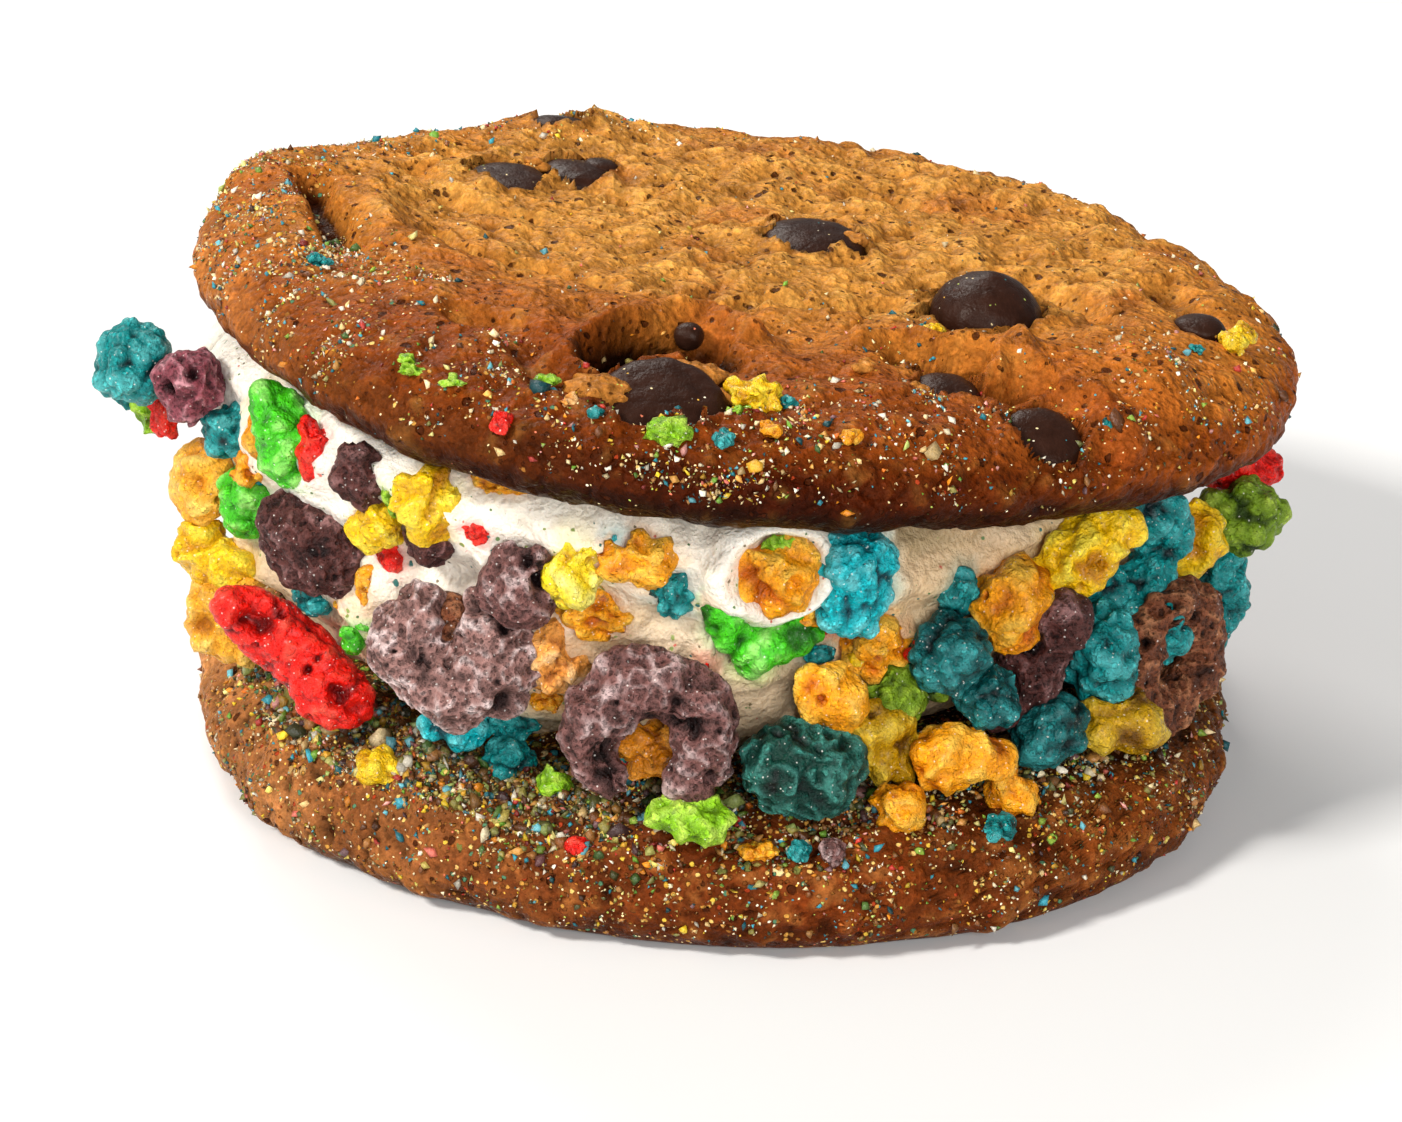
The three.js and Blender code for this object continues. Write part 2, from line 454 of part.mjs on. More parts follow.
/** A seat turned to face out at `round` degrees, at a distance and height. */
function seatAt([round, distance, height], [tip, roll, swing]) {
  const pivot = new THREE.Group();
  pivot.rotation.z = rad(round);
  const seat = new THREE.Group();
  seat.position.set(0, -distance, height);
  seat.rotation.set(rad(tip), rad(roll), rad(swing), 'ZYX');
  pivot.add(seat);
  sandwich.add(pivot);
  sandwich.updateMatrixWorld(true);
  return seat;
}

// ---------------------------------------------------------------- chocolate chips
// They are placed before the upper cookie, which has a socket for each.
const chips = CHIPS.map((chip) => {
  const seat = new THREE.Group();
  const face = faceHeight(UPPER, ...chip.at);
  seat.position.set(...chip.at, face + chip.rise - chip.height / 2);
  seat.rotation.x = rad(chip.lean);
  upper.add(seat);
  sandwich.updateMatrixWorld(true);
  const [solid, socket] = [0, GAP].map((grow) => solidOf(chipBody(chip, grow), seat.matrixWorld));
  return { name: chip.name, seat, solid, socket };
});
chips.forEach(({ name, seat, solid }, k) => {
  const clear = chips.slice(0, k).reduce((left, other) => left.subtract(other.socket), solid);
  addMesh(name, clear, seat, materialOf('chocolate', 0.35));
});

// ---------------------------------------------------------------- cereal
const random = randomStream(SEED);
const between = (low, high) => low + (high - low) * random();

/** Rows for the cereal round the back. */
function backCereal() {
  const { count, from, to, tiers, rise, heightPlay, colours, forms, turn } = BACK_CEREAL;
  return Array.from({ length: count }, (_, k) => {
    const form = forms[k % forms.length];
    const round = from + ((to - from) * (k + 0.5)) / count;
    const underHighEdge = (1 - Math.sin(rad(round))) / 2;
    const upperTier = k % 2;
    const begin = between(0, 360);
    return {
      name: `${colours[(k * 5 + (k % 3)) % colours.length]}_${form}_back_${k + 1}`,
      form,
      loop: between(...BACK_CEREAL.loop),
      tube: between(...BACK_CEREAL.tube),
      span: form === 'arc' ? [begin, begin + between(...BACK_CEREAL.span)] : undefined,
      half: BACK_CEREAL.half.map((limits) => between(...limits)),
      at: [
        round,
        form === 'puff' ? BACK_CEREAL.puffDistance : BACK_CEREAL.loopDistance,
        tiers[upperTier] + rise * underHighEdge * upperTier + between(-heightPlay, heightPlay),
      ],
      turn: turn.map((most) => between(-most, most)),
    };
  });
}

// Each piece is cut clear of the cookies, of the ice cream and of the pieces before it.
const coverings = [
  solidOf(cookieBody(LOWER, GAP)),
  solidOf(cookieBody(UPPER, GAP), upperFrame()),
  solidOf(creamBody(GAP)),
];
const cereal = [];
[...FRONT_CEREAL, ...backCereal()].forEach((row, seed) => {
  const seat = seatAt(row.at, row.turn);
  const [whole, grown] = [0, GAP].map((grow) => solidOf(cerealBody(row, seed, grow), seat.matrixWorld));
  const near = cereal.filter(({ box }) => box.intersectsBox(boxOf(whole))).map((other) => other.grown);
  const clear = [...coverings, ...near].reduce((left, other) => left.subtract(other), whole);
  cereal.push({ grown, box: boxOf(grown) });
  addMesh(row.name, clear, seat, materialOf(row.name.split('_')[0]));
});

/** A solid cut clear of the cereal. */
function clearOfCereal(solid) {
  return cereal.filter(({ box }) => box.intersectsBox(boxOf(solid)))
    .reduce((left, { grown }) => left.subtract(grown), solid);
}

// ---------------------------------------------------------------- ice cream, with its scraps of cereal
const backScraps = Array.from({ length: BACK_SCRAPS.count }, (_, k) => {
  const { count, from, to, heights, half } = BACK_SCRAPS;
  return [from + ((to - from) * (k + 0.5)) / count, between(...heights), between(...half), between(...half)];
});
const scraps = [...FRONT_SCRAPS, ...backScraps].map(([round, height, halfWidth, halfHeight], seed) => {
  const angle = rad(round);
  const top = upperUnderside(CREAM.radius * Math.sin(angle), -CREAM.radius * Math.cos(angle));
  const lowest = LOWER.thickness + halfHeight + SCRAP_CLEAR.below;
  const level = clamp(height, lowest, top - halfHeight - SCRAP_CLEAR.above);
  const share = (level - LOWER.thickness) / (top - LOWER.thickness);
  const r = creamRadius(angle, share) + SCRAP_PROUD * halfWidth;
  const place = new THREE.Vector3(r * Math.sin(angle), -r * Math.cos(angle), level);
  const turned = new THREE.Matrix4().makeRotationZ(angle).setPosition(place);
  const half = [halfWidth, Math.min(halfWidth, halfHeight), halfHeight];
  const body = puffBody(half, seed + SCRAP_SEED, 0, halfWidth > FINE_PUFF_FROM);
  return clearOfCereal(solidOf(body, turned));
});
const cream = scraps.reduce((joined, scrap) => joined.add(scrap), solidOf(creamBody()));
addMesh('ice_cream', cream, sandwich, materialOf('cream', 0.45));

// ---------------------------------------------------------------- cookies, with their scraps and crumbs
/** Places on a cookie for crumbs, most of them at the front. */
function crumbRows(cookie, { count, distance, half, front }) {
  return Array.from({ length: count }, () => {
    const angle = rad(random() < front ? between(...CRUMB_FRONT) : between(...CRUMB_BACK));
    const r = between(...distance) * (outline(cookie, angle) / cookie.radius);
    return [r * Math.cos(angle), r * Math.sin(angle), between(...half), between(...CRUMB_HEIGHT)];
  });
}

/** A cookie with scraps and crumbs fused to its face. */
function crumbedCookie(cookie, rows, frame) {
  return rows.reduce((joined, [x, y, halfWidth, halfHeight], seed) => {
    const place = new THREE.Vector3(x, y, faceHeight(cookie, x, y) + CRUMB_PROUD * halfHeight);
    const body = puffBody([halfWidth, halfWidth, halfHeight], seed + CRUMB_SEED, 0, false);
    const seat = frame.clone().multiply(new THREE.Matrix4().makeTranslation(place));
    return joined.add(clearOfCereal(solidOf(body, seat)));
  }, solidOf(cookieBody(cookie), frame));
}

const lowerRows = [...LOWER_SCRAPS, ...crumbRows(LOWER, LOWER_CRUMBS)];
const lowerCookie = crumbedCookie(LOWER, lowerRows, new THREE.Matrix4());
addMesh('bottom_cookie', lowerCookie, sandwich, materialOf('cookie'));

const upperRows = [...UPPER_SCRAPS, ...crumbRows(UPPER, UPPER_CRUMBS)];
const upperCookie = chips.reduce((left, { socket }) => left.subtract(socket),
  crumbedCookie(UPPER, upperRows, upperFrame()));
addMesh('top_cookie', upperCookie, upper, materialOf('cookie'));

export default sandwich;
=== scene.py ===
"""The looks of a cookie ice cream sandwich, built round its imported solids.

Shapes are worked out in millimetres in the part's own frame, from the named sizes that the solids use, and
turned into metres where a mesh is made. -Y is the front.
"""

import math

import bmesh
import bpy
import numpy as np
from mathutils import Matrix, Vector, bvhtree, kdtree


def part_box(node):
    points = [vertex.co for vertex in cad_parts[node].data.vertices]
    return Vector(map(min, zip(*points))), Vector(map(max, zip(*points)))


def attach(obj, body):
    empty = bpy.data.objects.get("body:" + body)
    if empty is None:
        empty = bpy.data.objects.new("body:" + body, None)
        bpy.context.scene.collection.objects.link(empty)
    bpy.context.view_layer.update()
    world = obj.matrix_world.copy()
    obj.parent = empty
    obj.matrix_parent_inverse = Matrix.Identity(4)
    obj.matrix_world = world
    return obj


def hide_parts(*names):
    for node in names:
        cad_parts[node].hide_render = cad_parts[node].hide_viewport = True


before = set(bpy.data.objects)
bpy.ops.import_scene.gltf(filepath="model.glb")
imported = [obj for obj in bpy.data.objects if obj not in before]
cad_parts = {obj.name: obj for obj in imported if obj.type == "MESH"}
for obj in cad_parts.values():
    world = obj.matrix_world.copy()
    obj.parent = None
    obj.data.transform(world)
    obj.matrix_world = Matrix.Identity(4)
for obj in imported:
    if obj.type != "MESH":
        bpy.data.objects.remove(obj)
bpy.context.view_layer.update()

MM = 0.001

# ---------------------------------------------------------------- sizes that the solids share, in millimetres
LOWER = {
    "radius": 46, "thickness": 10.5, "shoulder": 10, "heel": 4.5, "heel_more": 0, "heel_toward": 0,
    "belly": 4.2, "covered": 34,
    "waves": [(1, 0.008, 0), (2, 0.014, -0.017), (3, -0.022, 0.018), (4, -0.02, 0), (7, 0.003, 0.004)],
    "hills": [
        (-28, -32, 9, 5, 0.7), (6, -41, 12, 4, 0.6), (30, -28, 8, 6, 0.5), (-41, -6, 5, 9, -0.6),
        (36, 20, 8, 8, 0.7), (-20, 38, 11, 5, 0.6), (14, 40, 8, 5, -0.6), (-38, 20, 6, 8, 0.5),
    ],
}
UPPER = {
    "radius": 46.9, "thickness": 10, "shoulder": 11, "heel": 5, "heel_more": 6, "heel_toward": -130,
    "belly": 4.2, "covered": 0,
    "waves": [(2, 0.007, 0.011), (3, 0.003, 0.011), (4, 0.008, -0.015), (7, -0.004, 0.003)],
    "hills": [
        (-18, 34, 7, 4.5, 1), (-44, 13, 5, 8, 2.3), (31, 31, 7, 6, 0.9),
        (-7.5, -36.5, 9.5, 5.5, -2.5), (-8, -27.5, 10, 2.6, 1),
        (15, -29, 4.5, 3.4, -1.5), (22.4, -33, 4.2, 4.6, -2),
        (13, -19, 6, 3, 1.1), (22.5, -22, 6, 3.5, 1.1), (9, -28, 3, 5, 0.8),
        (31, -26, 5, 6, 0.9), (-29, -17, 7, 4, -0.8), (-19, -26, 6, 3.5, -0.6),
        (-34, -8, 3.5, 6, -1.5), (-24, -11, 7, 5, 0.7), (-27, 4, 7, 5, -0.6),
        (10, -11, 8, 4, -0.8), (18, 12, 8, 6, 0.5), (-6, 22, 8, 5, 0.6), (26, 20, 7, 7, -0.6),
        (39, -5, 4, 4, -1),
    ],
}
COVER_FADE = 4
RELIEF_FADE = 0.7
DISH_DEPTH, DISH_FROM, DISH_TO = 1, 0.4, 0.78
UPPER_MIDDLE = (2.4, 0.8, 39.2)
LEAN_RIGHT, LEAN_BACK = 6.5, 1.7

CREAM_RADIUS, CREAM_TO_LEFT, CREAM_FLATTENED = 37.4, 1.3, 1.6
CREAM_PROFILE = [
    (0, -9), (0.09, -6.8), (0.19, -2.6), (0.33, -0.2), (0.5, 0.2), (0.62, -0.5), (0.71, 0.6), (0.87, 0.8),
    (0.96, -0.3), (1, -2),
]
CREAM_WAVES = [(5, 0.5, 20), (9, 0.35, 75), (14, 0.2, 10)]
CREAM_SWELLINGS = [
    (-32, 33.5, 26, 2.8, 1.5), (-88, 34, 20, 5, 3), (-82, 25, 12, 4, 1.6), (5, 30.5, 9, 4.5, 1.3),
    (21, 27, 5, 5, 0.9), (-56, 31, 7, 3, 0.8), (-30, 16, 9, 2.5, 0.8), (110, 26, 14, 3, 1),
    (165, 30, 18, 3, 1.1), (215, 22, 12, 4, 0.9), (250, 33, 14, 3, 1),
]

# Chips in the upper cookie: place on its face and width.
CHIPS = {
    "chip_back_left": (-21.6, 16.4, 8.6), "chip_back": (-15.8, 20.6, 7.8), "chip_far_back": (-17.7, 34, 7),
    "chip_middle": (5.6, 7.6, 10.4), "chip_right": (19.8, -8.8, 9.2), "chip_front": (-7.4, -37.4, 11.6),
    "chip_front_small": (15, -28.6, 6.4), "chip_rim": (22.4, -33.6, 7.4),
}

# Folds of the upper cookie's face: height, half width and the places that each winds past.
FOLDS = [
    (1.6, 1.8, [(-15, -33), (-12.5, -28), (-9, -22.6), (-4, -20.6), (-0.4, -24)]),  # lip over the crater
    (-3, 1.8, [(-12, -30), (-8.4, -27), (-4.6, -26)]),  # the hollow under it
    (0.8, 3, [(-20, -27), (-15, -22), (-9, -18)]),
    (1.2, 1.2, [(8, -23), (12.5, -22), (17, -22.4), (19.4, -24), (18.6, -27)]),  # lip over the small chip
    (-2, 1.2, [(11.6, -25.4), (14.4, -25), (17.4, -26)]),
    (1.4, 1.6, [(21, -21.6), (21.6, -24), (23, -27.5), (26.6, -28.6), (29, -33)]),  # round the rim's chip
    (-1.5, 1, [(19.4, -29.4), (20.6, -27.6), (23, -27)]),
    (-1.9, 1.5, [(-38.6, 6.6), (-36.7, -0.4), (-34.4, -7.2)]),  # crease at the left
    (0.9, 3, [(-33, 6), (-31.5, -3), (-30, -9)]),
    (-1.2, 2.2, [(-23, -26), (-18, -30), (-15.5, -36)]),  # valley to the left of the crater
    (0.8, 4, [(-27, -19), (-20, -20), (-13, -17)]),
    (-1.1, 1.2, [(-27.5, -2.9), (-23.9, -7.5), (-18, -9), (-13, -13)]),  # step down to the smooth front
    (-1, 1.3, [(-4.5, -14), (0.6, -9.5), (6.4, -10.2), (11, -7)]),
    (0.9, 1.8, [(2, -16), (8, -14.6), (13.6, -13.4)]),
    (-0.8, 1.2, [(24, 2), (28.6, -4), (29.6, -10)]),
    (-0.8, 1.2, [(-30, 14), (-26, 8), (-19, 6)]),
    (-0.7, 1.2, [(10, 24), (18, 21), (24, 24)]),
    (0.8, 3.5, [(27, -14), (31, -18), (33, -25)]),
    (-1.2, 2, [(35.5, 3), (38, -2), (38.5, -8)]),
]

# The crevice behind the front chip, sunk and painted near black as its shadow: half width, depth and the
# places that it winds past.
CREVICE = (2, 2, [(-12.8, -31.6), (-11, -29.2), (-9.2, -27.4), (-6.6, -26.6), (-4.8, -27), (-3.4, -29.2)])

# Scraps of cereal on the ice cream: colour, degrees round from the front, height, half width, half height.
FRONT_SCRAPS = [
    ("lemon", -17, 30.6, 2, 2.9), ("orange", -9.7, 31.9, 3.3, 2), ("peach", -20.4, 22.1, 2.2, 2.8),
    ("teal", -5.7, 29.1, 1.6, 2), ("red", 14, 24.8, 1.5, 1.4), ("teal", 30.7, 26.4, 1.7, 2),
    ("orange", 20, 22.8, 2.6, 2), ("yellow", -35.2, 35.1, 2.5, 2.7), ("yellow", -43.9, 30.5, 2.5, 1.8),
    ("plum", -45.2, 36.3, 2.1, 2.7), ("plum", -36.1, 30.6, 2.4, 1.7), ("red", -53.2, 37.5, 1.8, 2.3),
    ("teal", -57, 21.9, 2.4, 1.4), ("green", -48.1, 20.5, 1.3, 1.4), ("orange", -15.8, 26.1, 2.9, 1.7),
    ("teal", -73.3, 32.6, 2, 2.3), ("red", 69, 26.6, 2.4, 2), ("orange", -22.8, 17.6, 1.5, 1.1),
    ("red", -44.7, 27.5, 1.4, 1.3),
]
# Bits too small for the solid, in the same terms, with the distance by which each stands out.
SMALL_BITS = [
    ("red", -83, 32.4, 1.4, 3.2, 3.4), ("lime", -86, 31.6, 1.8, 2.6, 4.6), ("teal", -88, 33, 1.7, 1.7, 6.2),
    ("orange", -68.5, 30.5, 2, 1.6, 0.9), ("orange", -64, 34.4, 1.5, 1.9, 0.6),
    ("blue", -69, 29.4, 1, 1, 1.2), ("yellow", -66, 38, 1.6, 1.4, 0.4),
    ("lime", -40.9, 33.8, 0.9, 1.5, 0.4), ("orange", -27.5, 36.4, 2.4, 0.7, 0.2),
    ("red", -28.5, 32.6, 1.5, 0.8, 0.2), ("orange", -47, 24.4, 1.1, 1.5, 0.3),
    ("orange", -50.5, 22.6, 0.9, 1, 0.4), ("lime", -42.2, 22.4, 0.8, 1, 0.2),
    ("blue", -26.6, 25.6, 0.6, 0.8, 2.4), ("orange", -5.6, 28, 0.9, 0.9, 0.2),
    ("orange", -1.4, 28.6, 0.8, 0.7, 0.1), ("red", -1.4, 22.8, 0.9, 0.7, 0.3),
    ("orange", 10.5, 26.6, 1.2, 0.9, 2.4), ("lime", 6.4, 33, 1.4, 0.9, 2.2),
    ("teal", 12.2, 22.6, 1.3, 0.9, 1.6), ("red", 11.6, 25.2, 1.1, 1, 2.2),
    ("yellow", 16.8, 21.8, 0.9, 0.9, 1.4), ("red", 24, 22.6, 0.9, 1, 2), ("blue", 18, 26, 1.4, 1.2, 1.8),
    ("blue", -12.5, 33.4, 0.5, 0.5, 0.4), ("lime", -17.4, 13.6, 1.4, 2.2, 0.6),
    ("amber", -5, 13.8, 2.8, 2.4, 3.2), ("amber", -8.6, 16.4, 2.6, 1.6, 4.8),
    ("teal", -30.4, 13.4, 2.2, 1.4, 2.2), ("teal", -12, 12.4, 1.2, 1.1, 5.6),
    ("red", -10.6, 11.4, 1.3, 0.9, 7), ("brown", -33.4, 23.6, 2.6, 2.4, 1),
]
# Hollows and cavities in the cereal: place from the middle of its solid's box, radius and depth.
HOLLOWS = {
    "purple_ring_front": [(-2.4, -1.9, -2.8, 2.5, 1.8), (3, -2.2, 0.6, 1.2, 1.3), (-0.8, -1.6, 0.4, 1.1, 1.3),
                          (-4.6, -1.4, -0.6, 0.8, 0.9), (1.2, -2, 0.6, 0.8, 0.8)],
    "purple_arc_left": [(-2.6, -2.4, 1.4, 1.6, 1.2), (1.9, -0.9, 5.1, 1.4, 1.2), (3.4, -2.4, -2.4, 1.3, 0.9)],
    "purple_puff_upper_left": [(0.7, -2.2, 0.4, 1.5, 1)],
    "red_bar_left": [(-2.6, -1.4, 3.6, 1.5, 1.7), (3.9, -3.4, -2.2, 1.1, 1.4), (5.2, -3.5, -3.4, 0.9, 1)],
    "orange_puff_front": [(-0.6, -1.6, -0.4, 0.9, 0.9), (1.6, -1.4, 0.4, 0.7, 0.8),
                          (-1.7, -1.2, 1.4, 0.8, 0.8)],
    "brown_ring_right": [(0.6, -2.4, 3.4, 1.4, 0.9)],
    "purple_bar_right": [(-0.2, -2, 2.2, 1.2, 0.9)],
    "teal_ring_right": [(-1.4, -2.4, 2.2, 1.2, 0.8)],
}
# Scraps round the back: colours and heights, the degrees between which they lie, and half size.
BACK_SCRAP_COLOURS = ["orange", "teal", "yellow", "red", "green", "purple", "orange"]
BACK_SCRAPS_FROM, BACK_SCRAPS_TO = 96, 270
BACK_SCRAP_HEIGHTS = [20, 27, 18, 29, 22, 25, 19]
BACK_SCRAP_HALF = 2

# Scraps on the cookies: colour, place on the face, half width, half height.
LOWER_SCRAPS = [
    ("orange", 14, -39.2, 1.9, 2), ("orange", 23.4, -35.8, 1.9, 2.1), ("teal", -17, -31, 2, 1.8),
    ("yellow", -27.8, -30, 1.8, 1.5), ("teal", 22.3, -39.3, 1.7, 1.2), ("teal", 6.1, -43, 1.2, 1),
    ("orange", 2.9, -43.2, 1.4, 1), ("purple", 8.8, -43.3, 1.2, 1.5), ("lime", -13.5, -35.2, 1.5, 1.8),
    ("red", -11.5, -40.6, 1.2, 1),
]
UPPER_SCRAPS = [
    ("yellow", -0.3, -36.8, 2.1, 1.4), ("lime", -6.8, -44.2, 1.8, 1), ("teal", -2.6, -45, 1.1, 1),
    ("yellow", 40.7, -10.5, 1.3, 1.3), ("lime", -26.7, -36, 1.2, 0.8), ("red", -19.4, -42.5, 1, 0.9),
]

# Smaller bits on the upper cookie, in the same terms.
UPPER_BITS = [
    ("red", 8.6, -22.6, 0.8, 0.6), ("lime", 10.2, -22.4, 0.8, 0.7), ("red", 10.8, -20.6, 0.8, 0.6),
    ("lime", 12.4, -21.6, 0.9, 0.8), ("teal", 12.6, -19.8, 0.7, 0.6), ("yellow", 14.4, -20.6, 1, 0.8),
    ("lime", -16, -36.8, 1.2, 0.5), ("peach", -14.6, -40.6, 0.8, 0.5), ("teal", -12.6, -42, 0.8, 0.4),
    ("lime", -23.5, -38, 1, 0.4), ("yellow", -28.6, -18.6, 0.9, 0.6), ("peach", -30.4, -18.4, 0.7, 0.5),
    ("teal", -9, -22.6, 0.8, 0.6), ("teal", 2.4, -37.4, 0.8, 0.4), ("orange", 1, -43, 1, 0.4),
    ("orange", 6.6, -42.6, 1.1, 0.4), ("lime", -1.8, -39.6, 1, 0.5), ("teal", -35.6, -15, 0.9, 0.4),
    ("teal", 27.6, -31.6, 0.7, 0.4), ("lime", 31.6, -15.6, 0.9, 0.4), ("teal", 36.6, -15, 0.7, 0.5),
]
# Small bits of chocolate that show in the dough: place, half width and half height.
CHOCOLATE_BITS = [(-5.4, -24.8, 1.2, 1.1), (38.2, -6.4, 2.3, 1.2), (-13.6, 22, 1.6, 0.8)]
# Flaps of dough over the chips, in the same terms.
UPPER_FLAPS = [
    (-12.4, -37.4, 2.6, 1.2), (-5.2, -32.2, 2.6, 0.8), (-1.6, -35.4, 1.6, 1), (9.6, 7.6, 1.7, 1.2),
    (-19, 19.4, 1.6, 0.8), (8, -30.6, 1.4, 0.6), (12.4, -31.6, 1, 0.5),
]

# ---------------------------------------------------------------- colours
# Kinds of cereal: slot, form, roughness, glow and coat, and the colours in its hollows, which are painted
# shade, over most of it and on its tips, which are partly sugar frost and partly painted highlight.
CRISPS = {
    "purple": ("cereal_purple", "foam", 0.42, 0, 0, "#180706", "#6a4541", "#c0a8a6"),
    "lilac": ("cereal_purple", "foam", 0.42, 0, 0, "#1c0908", "#84605a", "#dccac8"),
    "plum": ("cereal_purple", "foam", 0.42, 0, 0, "#120303", "#482420", "#8c6664"),
    "mauve": ("cereal_purple", "foam", 0.38, 0, 0, "#24080c", "#7a3a44", "#c48c94"),
    "brown": ("cereal_purple", "foam", 0.45, 0, 0, "#160703", "#6c3a22", "#aa7450"),
    "teal": ("cereal_teal", "beads", 0.34, 0.06, 0.1, "#002024", "#009292", "#58cccc"),
    "deepteal": ("cereal_teal", "beads", 0.34, 0.04, 0.1, "#001416", "#006464", "#3aa2a2"),
    "darkteal": ("cereal_teal", "crags", 0.36, 0, 0.05, "#01100d", "#044236", "#46988a"),
    "blue": ("cereal_blue", "beads", 0.32, 0.06, 0.1, "#014450", "#00c8d2", "#84ecf0"),
    "green": ("cereal_green", "knobs", 0.28, 0.12, 0.12, "#186600", "#48d01a", "#b4fa84"),
    "lime": ("cereal_green", "crests", 0.32, 0.1, 0.1, "#446202", "#8fcc16", "#d0f060"),
    "moss": ("cereal_green", "knobs", 0.36, 0.05, 0, "#263a04", "#76961a", "#b0ca48"),
    "red": ("cereal_red", "pores", 0.32, 0.05, 0.12, "#780200", "#f61405", "#ff5c46"),
    "orange": ("cereal_orange", "crinkles", 0.32, 0.08, 0.1, "#c86200", "#ffa40a", "#ffcc4e"),
    "amber": ("cereal_orange", "crinkles", 0.28, 0.1, 0.2, "#7a3600", "#d98208", "#ffac3c"),
    "peach": ("cereal_orange", "crinkles", 0.36, 0.08, 0.05, "#b8661a", "#f9a548", "#ffd294"),
    "honey": ("cereal_orange", "crinkles", 0.36, 0.08, 0.05, "#c47408", "#fbb02c", "#ffd66c"),
    "yellow": ("cereal_yellow", "crinkles", 0.3, 0.1, 0.15, "#c68200", "#ffca00", "#ffe848"),
    "ochre": ("cereal_yellow", "crinkles", 0.3, 0.1, 0.15, "#744a00", "#c69600", "#ecc83c"),
    "lemon": ("cereal_yellow", "crinkles", 0.3, 0.15, 0.15, "#d8a000", "#ffe624", "#fff794"),
    "dough": ("cookie", "dough", 0.45, 0, 0, "#4a2408", "#b0702e", "#d8a86a"),
}
# Pieces whose kind isn't the one that their name begins with.
SPECIAL_KINDS = {
    "teal_puff_front": "darkteal", "green_puff_leaf": "moss", "orange_arc_left": "honey",
    "orange_puff_left": "honey", "orange_puff_inside": "amber", "green_puff_low": "lime",
    "green_puff_far_right": "moss", "purple_arc_left": "lilac", "purple_puff_upper_left": "plum",
    "purple_puff_far_left": "mauve", "purple_bar_right": "plum", "yellow_puff_low": "ochre",
    "yellow_puff_low_right": "ochre", "teal_puff_middle": "deepteal", "teal_puff_lower": "deepteal",
    "teal_puff_low_right": "deepteal",
}


def colour(text):
    """The linear colour of a #rrggbb one."""
    share = np.array([int(text[k : k + 2], 16) for k in (1, 3, 5)]) / 255
    return np.where(share <= 0.04045, share / 12.92, ((share + 0.055) / 1.055) ** 2.4)


def blended(low, high, share):
    """Colours between two, by each point's share. Each is a #rrggbb one, or an array."""
    low, high = (colour(given) if isinstance(given, str) else given for given in (low, high))
    share = np.clip(share, 0, 1)[:, None]
    return low * (1 - share) + high * share


def toned(tint, factors, share):
    """A tint multiplied by factors, by each point's share."""
    return blended(tint, tint * np.array(factors), share)


def with_dust(tint, dust):
    return np.concatenate([tint, np.broadcast_to(dust, len(tint))[:, None]], 1)


def plain(text, dust, count):
    """The same tint and dust for each of `count` points."""
    return np.tile(np.append(colour(text), dust), (count, 1))


def smoothstep(low, high, value):
    share = np.clip((value - low) / (high - low), 0, 1)
    return share * share * (3 - 2 * share)


# ---------------------------------------------------------------- noise
CORNERS = np.array([(x, y, z) for x in (0, 1) for y in (0, 1) for z in (0, 1)])
NEIGHBOURS = np.array([(x, y, z) for x in (-1, 0, 1) for y in (-1, 0, 1) for z in (-1, 0, 1)])


def hashed(cell, seed):
    """A repeatable number from 0 to 1 for each whole-numbered cell."""
    code = cell[:, 0] * 374761393 + cell[:, 1] * 668265263 + cell[:, 2] * 1274126177 + seed * 974634777
    code = (code ^ (code >> 13)) * 1103515245 & 0x7FFFFFFFFFF
    code = (code ^ (code >> 16)) * 69069 & 0xFFFFFFFF
    return ((code ^ (code >> 11)) & 0xFFFFFF) / 0xFFFFFF


def scattered(cell, seed):
    """Three repeatable numbers from 0 to 1 for each cell."""
    return np.stack([hashed(cell, seed * 3 + k) for k in range(3)], 1)


def ripple(points, size, seed):
    """Smooth noise from about -1 to 1, with hills about `size` across."""
    at = points / size
    low = np.floor(at).astype(np.int64)
    part = at - low
    blend = part**3 * (part * (part * 6 - 15) + 10)
    total = np.zeros(len(points))
    for corner in CORNERS:
        cell = low + corner
        slope = scattered(cell, seed) * 2 - 1
        weight = np.prod(np.where(corner, blend, 1 - blend), 1)
        total += weight * (slope * (part - corner)).sum(1)
    return total * 1.6


def cells(points, size, seed):
    """Distance to the nearest of centres about `size` apart, as a share of `size`, and its chance."""
    at = points / size
    low = np.floor(at).astype(np.int64)
    nearest = np.full(len(points), 9.0)
    chance = np.zeros(len(points))
    for step in NEIGHBOURS:
        cell = low + step
        shift = scattered(cell, seed)
        away = ((at - cell - shift) ** 2).sum(1)
        closer = away < nearest
        nearest = np.where(closer, away, nearest)
        chance = np.where(closer, shift[:, 0] * 7.31 % 1, chance)
    return np.sqrt(nearest), chance


def lobes(points, size, seed):
    """Rounded lumps about `size` across with creases between them, from 1 on top to about 0."""
    return 1 - np.minimum(cells(points, size, seed)[0] / 0.9, 1) ** 2


def pits(points, size, seed, radius, share):
    """Round holes: 1 inside, 0 outside. The radius is in millimetres; only a share of the cells has one."""
    away, chance = cells(points, size, seed)
    wide = radius / size * (0.55 + 0.9 * chance)
    return np.where(chance < share, smoothstep(wide * 1.15, wide * 0.55, away), 0)


def ridges(points, size, seed, sharpness=1):
    """Winding crests about `size` apart, from 0 to 1."""
    return (1 - np.minimum(abs(ripple(points, size, seed)) * 2.2, 1)) ** sharpness


# ---------------------------------------------------------------- meshes
def across_faces(points, faces):
    """Each triangle's corners, and its normal, which is twice as long as its area."""
    corners = points[faces]
    return corners, np.cross(corners[:, 1] - corners[:, 0], corners[:, 2] - corners[:, 0])


def summed(index, rows, count):
    """The sum of the rows that share each index."""
    return np.stack([np.bincount(index, column, count) for column in rows.T], 1)


